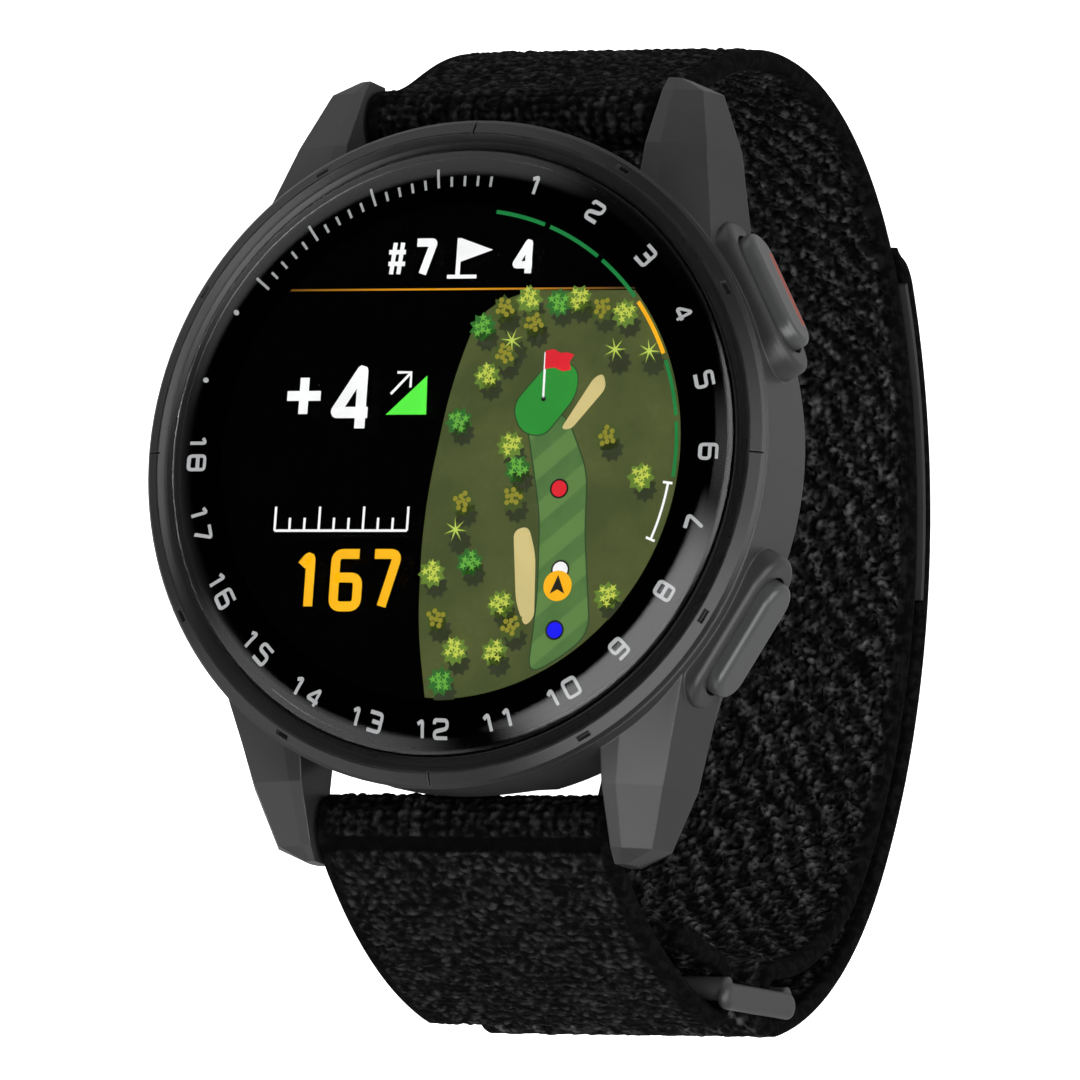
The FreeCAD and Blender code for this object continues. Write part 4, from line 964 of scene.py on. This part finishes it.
def draw_map(level):
    ground = rough_ground("rough_grass", (0.042, 0.062, 0.008, 1), (0.078, 0.098, 0.018, 1))
    Picture(level).patch(map_outline()).piece("map_ground", ground)
    fairway = mown_stripes("mown_fairway", (0.055, 0.14, 0.026, 1), (0.103, 0.21, 0.044, 1), 2.3 * MM)
    edge = printed("fairway_edge", (0.012, 0.05, 0.012))
    outline = smooth_outline([(4.9, 2.2), (7.5, 2.6), (9.3, -1.2), (9.4, -5.0), (10.2, -11.3), (8.2, -12.9),
                              (6.2, -13.9), (6.5, -9.0), (6.3, -4.0), (5.6, -0.8)], 1.2)
    Picture(level + LAYER).patch(outline).piece("map_fairway", fairway)
    border = np.vstack([outline, outline[:1]])
    Picture(level + 2 * LAYER).line(border, 0.09 * MM).piece("map_fairway_edge", edge)
    green = printed("putting_green", (0.016, 0.25, 0.024))
    blob = smooth_outline([(3.9, 2.9), (4.6, 1.2), (6.2, 0.9), (8.3, 3.6), (8.2, 5.4), (6.3, 5.7)], 1.7)
    Picture(level + 3 * LAYER).patch(blob).piece("map_green", green)
    Picture(level + 4 * LAYER).line(np.vstack([blob, blob[:1]]), 0.08 * MM).piece("map_green_edge", edge)
    sand = printed("bunker_sand", (0.62, 0.51, 0.21), 0.95)
    bunkers = Picture(level + 3 * LAYER)
    bunkers.patch(smooth_outline([(7.3, 1.4), (8.0, 1.4), (10.2, 4.0), (9.9, 4.9), (9.3, 4.6)], 0.5))
    bunkers.patch(smooth_outline([(4.6, -4.9), (5.6, -4.6), (6.2, -6.4), (6.4, -10.3), (5.8, -10.9),
                                  (5.1, -9.4)], 0.7))
    bunkers.piece("map_bunkers", sand)
    draw_bushes(level + 5 * LAYER)
    draw_markers(level + 14 * LAYER)


PALE, OLIVE, GREEN, PALM = range(4)

# Each bush's place in millimetres from the display's centre, and its kind.
BUSHES = [
    (4.6, 9.5, PALE), (3.0, 8.9, OLIVE), (6.6, 9.3, GREEN), (7.9, 9.5, PALE), (9.5, 8.9, OLIVE),
    (1.6, 7.8, GREEN), (3.6, 6.9, PALM), (5.0, 8.0, OLIVE), (11.1, 8.6, PALE), (10.6, 6.3, PALM),
    (12.9, 6.2, PALM), (2.1, 4.7, PALE), (3.2, 6.0, OLIVE), (0.4, 1.9, GREEN), (4.0, 0.4, PALE),
    (4.6, -1.1, GREEN), (4.4, -2.9, OLIVE), (10.5, 0.9, OLIVE), (12.9, -1.6, PALE), (1.0, -3.2, OLIVE),
    (0.7, -4.9, PALM), (1.8, -6.9, GREEN), (-0.7, -7.6, PALE), (4.1, -9.5, PALE), (4.9, -10.9, OLIVE),
    (-0.2, -10.4, OLIVE), (1.2, -12.4, PALE), (3.9, -12.5, PALE), (0.4, -14.3, GREEN), (11.2, -9.0, PALE),
]

LEAVES = [
    ("pale", (0.11, 0.2, 0.02), (0.5, 0.56, 0.07)),
    ("olive", (0.05, 0.08, 0.01), (0.25, 0.23, 0.015)),
    ("green", (0.02, 0.13, 0.015), (0.12, 0.38, 0.04)),
    ("palm", (0.06, 0.12, 0.01), (0.48, 0.58, 0.09)),
]


def star(x, y, outer, inner, points, turn):
    """A pointed rosette of leaves, as an outline."""
    outline = []
    for k in range(2 * points):
        radius = outer if k % 2 == 0 else inner
        angle = turn + math.pi * k / points
        outline.append((x + radius * math.cos(angle), y + radius * math.sin(angle)))
    return outline


def draw_bushes(level):
    """Bushes of four kinds seen from above, each with its shadow."""
    shadow_ink = printed("bush_shadow", (0.022, 0.03, 0.008))
    leaf_inks = [(printed(f"{kind}_leaf_low", low), printed(f"{kind}_leaf_top", top))
                 for kind, low, top in LEAVES]
    shadows = Picture(level)
    lows = [Picture(level + LAYER) for _ in leaf_inks]
    tops = [Picture(level + 3 * LAYER) for _ in leaf_inks]
    for order, (x, y, kind) in enumerate(BUSHES):
        if math.hypot(x, y) > 14.4:
            continue
        x, y = x * MM, y * MM
        turn = 1.7 * order
        shadows.patch(star(x + 0.35 * MM, y - 0.75 * MM, 0.85 * MM, 0.62 * MM, 9, turn), order % 2)
        spread = 0.96 * MM
        if kind == PALM:
            lows[kind].patch(star(x, y, spread * 0.95, 0.2 * MM, 7, turn))
            tops[kind].patch(star(x, y + 0.06 * MM, spread * 0.8, 0.13 * MM, 7, turn))
            continue
        lows[kind].patch(star(x, y, spread, spread * 0.72, 8 + order % 3, turn))
        leaves = 9 if kind == OLIVE else 7
        for leaf in range(leaves):
            angle = turn + 2.4 * leaf
            reach = spread * 0.62 * math.sqrt((leaf + 0.3) / leaves)
            leaf_x = x + reach * math.cos(angle)
            leaf_y = y + 0.08 * MM + reach * math.sin(angle)
            if kind == OLIVE:
                tops[kind].disc(leaf_x, leaf_y, 0.17 * MM, leaf, 9)
            else:
                tops[kind].patch(star(leaf_x, leaf_y, 0.3 * MM, 0.11 * MM, 5, angle), leaf)
    shadows.piece("bush_shadows", shadow_ink)
    for kind, (low_ink, top_ink) in enumerate(leaf_inks):
        lows[kind].piece(f"{LEAVES[kind][0]}_bushes_low", low_ink)
        tops[kind].piece(f"{LEAVES[kind][0]}_bushes_top", top_ink)


def draw_markers(level):
    """The flag, the distance markers, the player's arrow and the ring of scores."""
    white = printed("screen_white", (0.88, 0.88, 0.88))
    black = printed("marker_black", (0.004, 0.004, 0.004), 0.2)
    red = printed("marker_red", (0.68, 0.008, 0.02))
    blue = printed("marker_blue", (0.0, 0.0, 0.85))
    gold = printed("screen_gold", (0.9, 0.42, 0.0))
    score_green = printed("score_green", (0.0, 0.19, 0.035))
    pole = Picture(level)
    pole.line(mm_points([(6.0, 3.35), (5.95, 6.2)]), 0.15 * MM)
    pole.piece("flag_pole", white)
    flag = Picture(level + LAYER)
    flag.patch(mm_points([(5.95, 6.3), (6.5, 6.4), (7.0, 6.15), (7.4, 6.2), (7.9, 6.05), (7.6, 5.6),
                          (7.75, 5.1), (7.2, 5.0), (6.6, 5.25), (5.97, 5.15)]))
    flag.piece("flag_cloth", red)
    rings = Picture(level)
    spots = ((7.5, -2.3, red, "red"), (7.95, -7.35, white, "white"), (7.85, -11.1, blue, "blue"))
    for x, y, ink, label in spots:
        rings.disc(x * MM, y * MM, 0.62 * MM)
        Picture(level + 2 * LAYER).disc(x * MM, y * MM, 0.5 * MM).piece(f"{label}_marker", ink)
    rings.disc(6.03 * MM, 3.3 * MM, 0.16 * MM)
    rings.piece("marker_rings", black)
    player = (7.85 * MM, -8.35 * MM)
    Picture(level + 3 * LAYER).disc(*player, 0.95 * MM).piece("player_marker", gold)
    arrow = [(0, 0.68), (0.5, -0.5), (0, -0.22), (-0.5, -0.5)]
    placed = [(player[0] + x * MM, player[1] + y * MM) for x, y in arrow]
    Picture(level + 4 * LAYER).patch(placed).piece("player_arrow", black)
    ring = Picture(level)
    for start, end in ((7.5, 20.5), (22.0, 36.5), (38.0, 50.5), (68.0, 81.5), (83.0, 96.0)):
        ring.line(dial_arc(start, end, 15.15 * MM), 0.24 * MM)
    ring.piece("score_ring", score_green)
    Picture(level).line(dial_arc(52.0, 66.3, 15.15 * MM), 0.26 * MM).piece("score_ring_gold", gold)
    bracket = Picture(level)
    bracket.line(dial_arc(97.5, 111.5, 14.9 * MM), 0.16 * MM)
    for bearing in (97.5, 111.5):
        bracket.line([around_dial(bearing, 14.55 * MM), around_dial(bearing, 15.2 * MM)], 0.16 * MM, 1)
    bracket.piece("score_bracket", white)


def fading_line(name, colour, start, end):
    """A lit line that fades out towards both ends."""
    material, wiring = new_material(name)
    place = wiring.node("ShaderNodeTexCoord").outputs["Object"]
    x = wiring.node("ShaderNodeSeparateXYZ", {"Vector": place}).outputs["X"]
    rise = wiring.between(x, start, start + 0.4 * (end - start))
    fall = wiring.between(x, end, end - 0.45 * (end - start))
    tone = wiring.blend(wiring.maths("MULTIPLY", rise, fall), (0.001, 0.001, 0.001, 1), (*colour, 1))
    return lit(material, wiring, (0.001, 0.001, 0.001, 1), tone)


def draw_readings(level):
    """The hole number, the score, the slope sign and the distance."""
    white = printed("reading_white", (0.9, 0.9, 0.9))
    gold = printed("reading_gold", (0.93, 0.46, 0.0))
    slope_green = printed("slope_green", (0.09, 0.82, 0.05))
    title = Picture(level)
    title.figures("#7", -5.4 * MM, 10.9 * MM, 2.5 * MM, 1.65 * MM, 0.52 * MM, 0.22 * MM, 0.12 * MM, None)
    title.line(mm_points([(-0.4, 10.9), (-0.4, 13.4)]), 0.3 * MM)
    title.patch(mm_points([(-0.3, 13.4), (1.9, 12.65), (-0.3, 11.9)]), 1)
    title.line(mm_points([(-1.1, 10.98), (0.9, 10.98)]), 0.24 * MM, 2)
    title.figures("4", 3.2 * MM, 10.9 * MM, 2.5 * MM, 1.65 * MM, 0.52 * MM, 0.3 * MM, 0.12 * MM, None)
    title.piece("hole_number", white)
    score = Picture(level)
    score.figures("+", -11.7 * MM, 2.1 * MM, 2.9 * MM, 2.9 * MM, 0.62 * MM, 0, 0.1 * MM, None)
    score.figures("4", -8.45 * MM, 1.1 * MM, 4.5 * MM, 3.0 * MM, 0.8 * MM, 0, 0.15 * MM, None)
    score.piece("score", white)
    wedge = mm_points([(-4.6, 2.35), (-1.85, 2.35), (-1.95, 4.8)])
    Picture(level).patch(wedge).piece("slope_sign", slope_green)
    pointer = Picture(level)
    pointer.line(mm_points([(-4.35, 3.65), (-3.1, 4.95)]), 0.17 * MM)
    pointer.line(mm_points([(-4.0, 5.0), (-3.05, 5.0), (-3.05, 4.05)]), 0.17 * MM, 1)
    pointer.piece("slope_arrow", white)
    rule = Picture(level)
    rule.line(mm_points([(-11.6, -4.9), (-2.6, -4.9)]), 0.16 * MM)
    for step in range(10):
        x = -11.6 + step
        rise = 1.5 if step % 3 == 0 else 0.8
        rule.line(mm_points([(x, -4.9), (x, -4.9 + rise)]), 0.16 * MM, 1)
    rule.piece("distance_rule", white)
    distance = Picture(level)
    distance.figures("167", -10.2 * MM, -9.95 * MM, 3.9 * MM, 2.2 * MM, 0.62 * MM, 0.42 * MM, 0.5 * MM,
                     None)
    distance.piece("distance", gold)
    fading = fading_line("title_line_glow", (0.8, 0.32, 0.0), -13.9 * MM, 12.0 * MM)
    underline = mm_points([(-11.9 + 2.0 * step, 10.2) for step in range(13)])
    Picture(level).line(underline, 0.12 * MM).piece("title_line", fading)


# Studio.

def view_turn():
    """The camera's turn: it looks down on the display from its lower right, rolled a little."""
    forward = Vector((-0.4104, 0.1535, -0.8989)).normalized()
    right = Vector((0.9155, 0.0696, -0.4096))
    right = (right - forward * right.dot(forward)).normalized()
    up = right.cross(forward)
    return Matrix((right, up, -forward)).transposed()


VIEW_AIM = Vector((1.13, -3.51, -1.14)) * MM
VIEW_DISTANCE = 1.0
VIEW_LENS = 536.5


def studio():
    camera = bpy.data.objects.new("camera", bpy.data.cameras.new("camera"))
    bpy.context.scene.collection.objects.link(camera)
    turn = view_turn()
    camera.matrix_world = Matrix.Translation(VIEW_AIM + turn.col[2] * VIEW_DISTANCE) @ turn.to_4x4()
    camera.data.lens = VIEW_LENS
    camera.data.sensor_width = 36
    camera.data.clip_start = 0.05
    camera.data.clip_end = 20
    bpy.context.scene.camera = camera
    lay_floor()
    light_studio()


def lay_floor():
    """A white floor, which lends the watch only a little light from below."""
    material, wiring = new_material("pale_floor")
    grain = use_group(wiring, GRAIN, Scale=900.0, Slow_Scale=8.0)
    tone = wiring.blend(grain["Variation"], (0.95, 0.95, 0.95, 1), (0.97, 0.97, 0.97, 1))
    seen = wiring.node("ShaderNodeLightPath").outputs["Is Camera Ray"]
    shown = wiring.blend(seen, (0.35, 0.35, 0.35, 1), tone)
    glow = wiring.blend(seen, (0.0, 0.0, 0.0, 1), (0.8, 0.8, 0.8, 1))
    finished(material, wiring, {
        "Base Color": shown, "Roughness": 0.9, "Specular IOR Level": 0.0, "Emission Color": glow,
        "Emission Strength": 1.0})
    level = cad_box[0][2] - 0.6 * MM
    reach = 3.0
    corners = [(x * reach, y * reach, level) for x, y in ((-1, -1), (1, -1), (1, 1), (-1, 1))]
    floor = mesh_piece("floor", corners, [(0, 1, 2, 3)], material, None, False)


def softbox(name, place, size, energy):
    """A square light that looks at the watch."""
    lamp = bpy.data.lights.new(name, "AREA")
    lamp.size = size
    lamp.energy = energy
    light = bpy.data.objects.new(name, lamp)
    bpy.context.scene.collection.objects.link(light)
    light.location = place
    light.rotation_euler = (-Vector(place)).to_track_quat("-Z", "Y").to_euler()
    light.visible_glossy = False


# Bright patches of the room: where each is, how wide as a cosine, and how bright.
ROOM_LAMPS = [
    ((0.30, -0.50, 0.81), 0.83, 4.2),
    ((0.92, 0.12, 0.38), 0.80, 3.2),
    ((-0.70, -0.68, 0.16), 0.80, 1.4),
    ((-0.60, 0.75, 0.30), 0.80, 0.8),
]


def light_studio():
    """Softboxes low round the watch, in a room that is dark overhead, so the flat glass stays black."""
    softbox("key", (1.0, 0.1, 0.45), 0.6, 5.0)
    softbox("front", (0.25, -0.95, 0.5), 0.6, 1.3)
    softbox("left", (-0.95, 0.1, 0.4), 0.5, 1.2)
    softbox("back", (-0.2, 0.95, 0.6), 0.6, 2.5)
    world = bpy.data.worlds.new("studio")
    world.use_nodes = True
    bpy.context.scene.world = world
    wiring = Wiring(world.node_tree)
    direction = wiring.node("ShaderNodeTexCoord").outputs["Generated"]
    height = wiring.node("ShaderNodeSeparateXYZ", {"Vector": direction}).outputs["Z"]
    low_down = wiring.between(height, 0.7, 0.0)
    colour = wiring.blend(low_down, (0.006, 0.006, 0.006, 1), (0.22, 0.22, 0.224, 1))
    for aim, spread, brightness in ROOM_LAMPS:
        nearness = {0: direction, 1: Vector(aim).normalized()}
        near = wiring.node("ShaderNodeVectorMath", nearness, operation="DOT_PRODUCT")
        share = wiring.between(near.outputs["Value"], spread, 0.5 + 0.5 * spread + 0.04)
        share.node.interpolation_type = "SMOOTHSTEP"
        colour = wiring.blend(share, colour, (brightness, brightness, brightness, 1))
    background = wiring.node("ShaderNodeBackground", {"Color": colour, "Strength": 1.0})
    out = wiring.node("ShaderNodeOutputWorld")
    wiring.tree.links.new(background.outputs[0], out.inputs["Surface"])
    bpy.context.scene.view_settings.view_transform = "Standard"


finish_hard_parts()
return_springs()
# Both yarns paint shade in their hollows and highlights on their loops; the pile's lighter top colour is
# painted light on the strap's inner face.
strap_yarn = (woven_yarn("strap_knit", (0.0008, 0.0008, 0.0008, 1), (0.030, 0.030, 0.030, 1)),
              woven_yarn("strap_pile_painted_light", (0.0008, 0.0008, 0.0008, 1), (0.072, 0.072, 0.072, 1)))
upper_strap(strap_yarn)
strap_tail(strap_yarn)
lower_strap(strap_yarn)
print_dial()
picture_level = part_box("display_panel")[1].z + LAYER
draw_map(picture_level)
draw_readings(picture_level + 2 * LAYER)
studio()
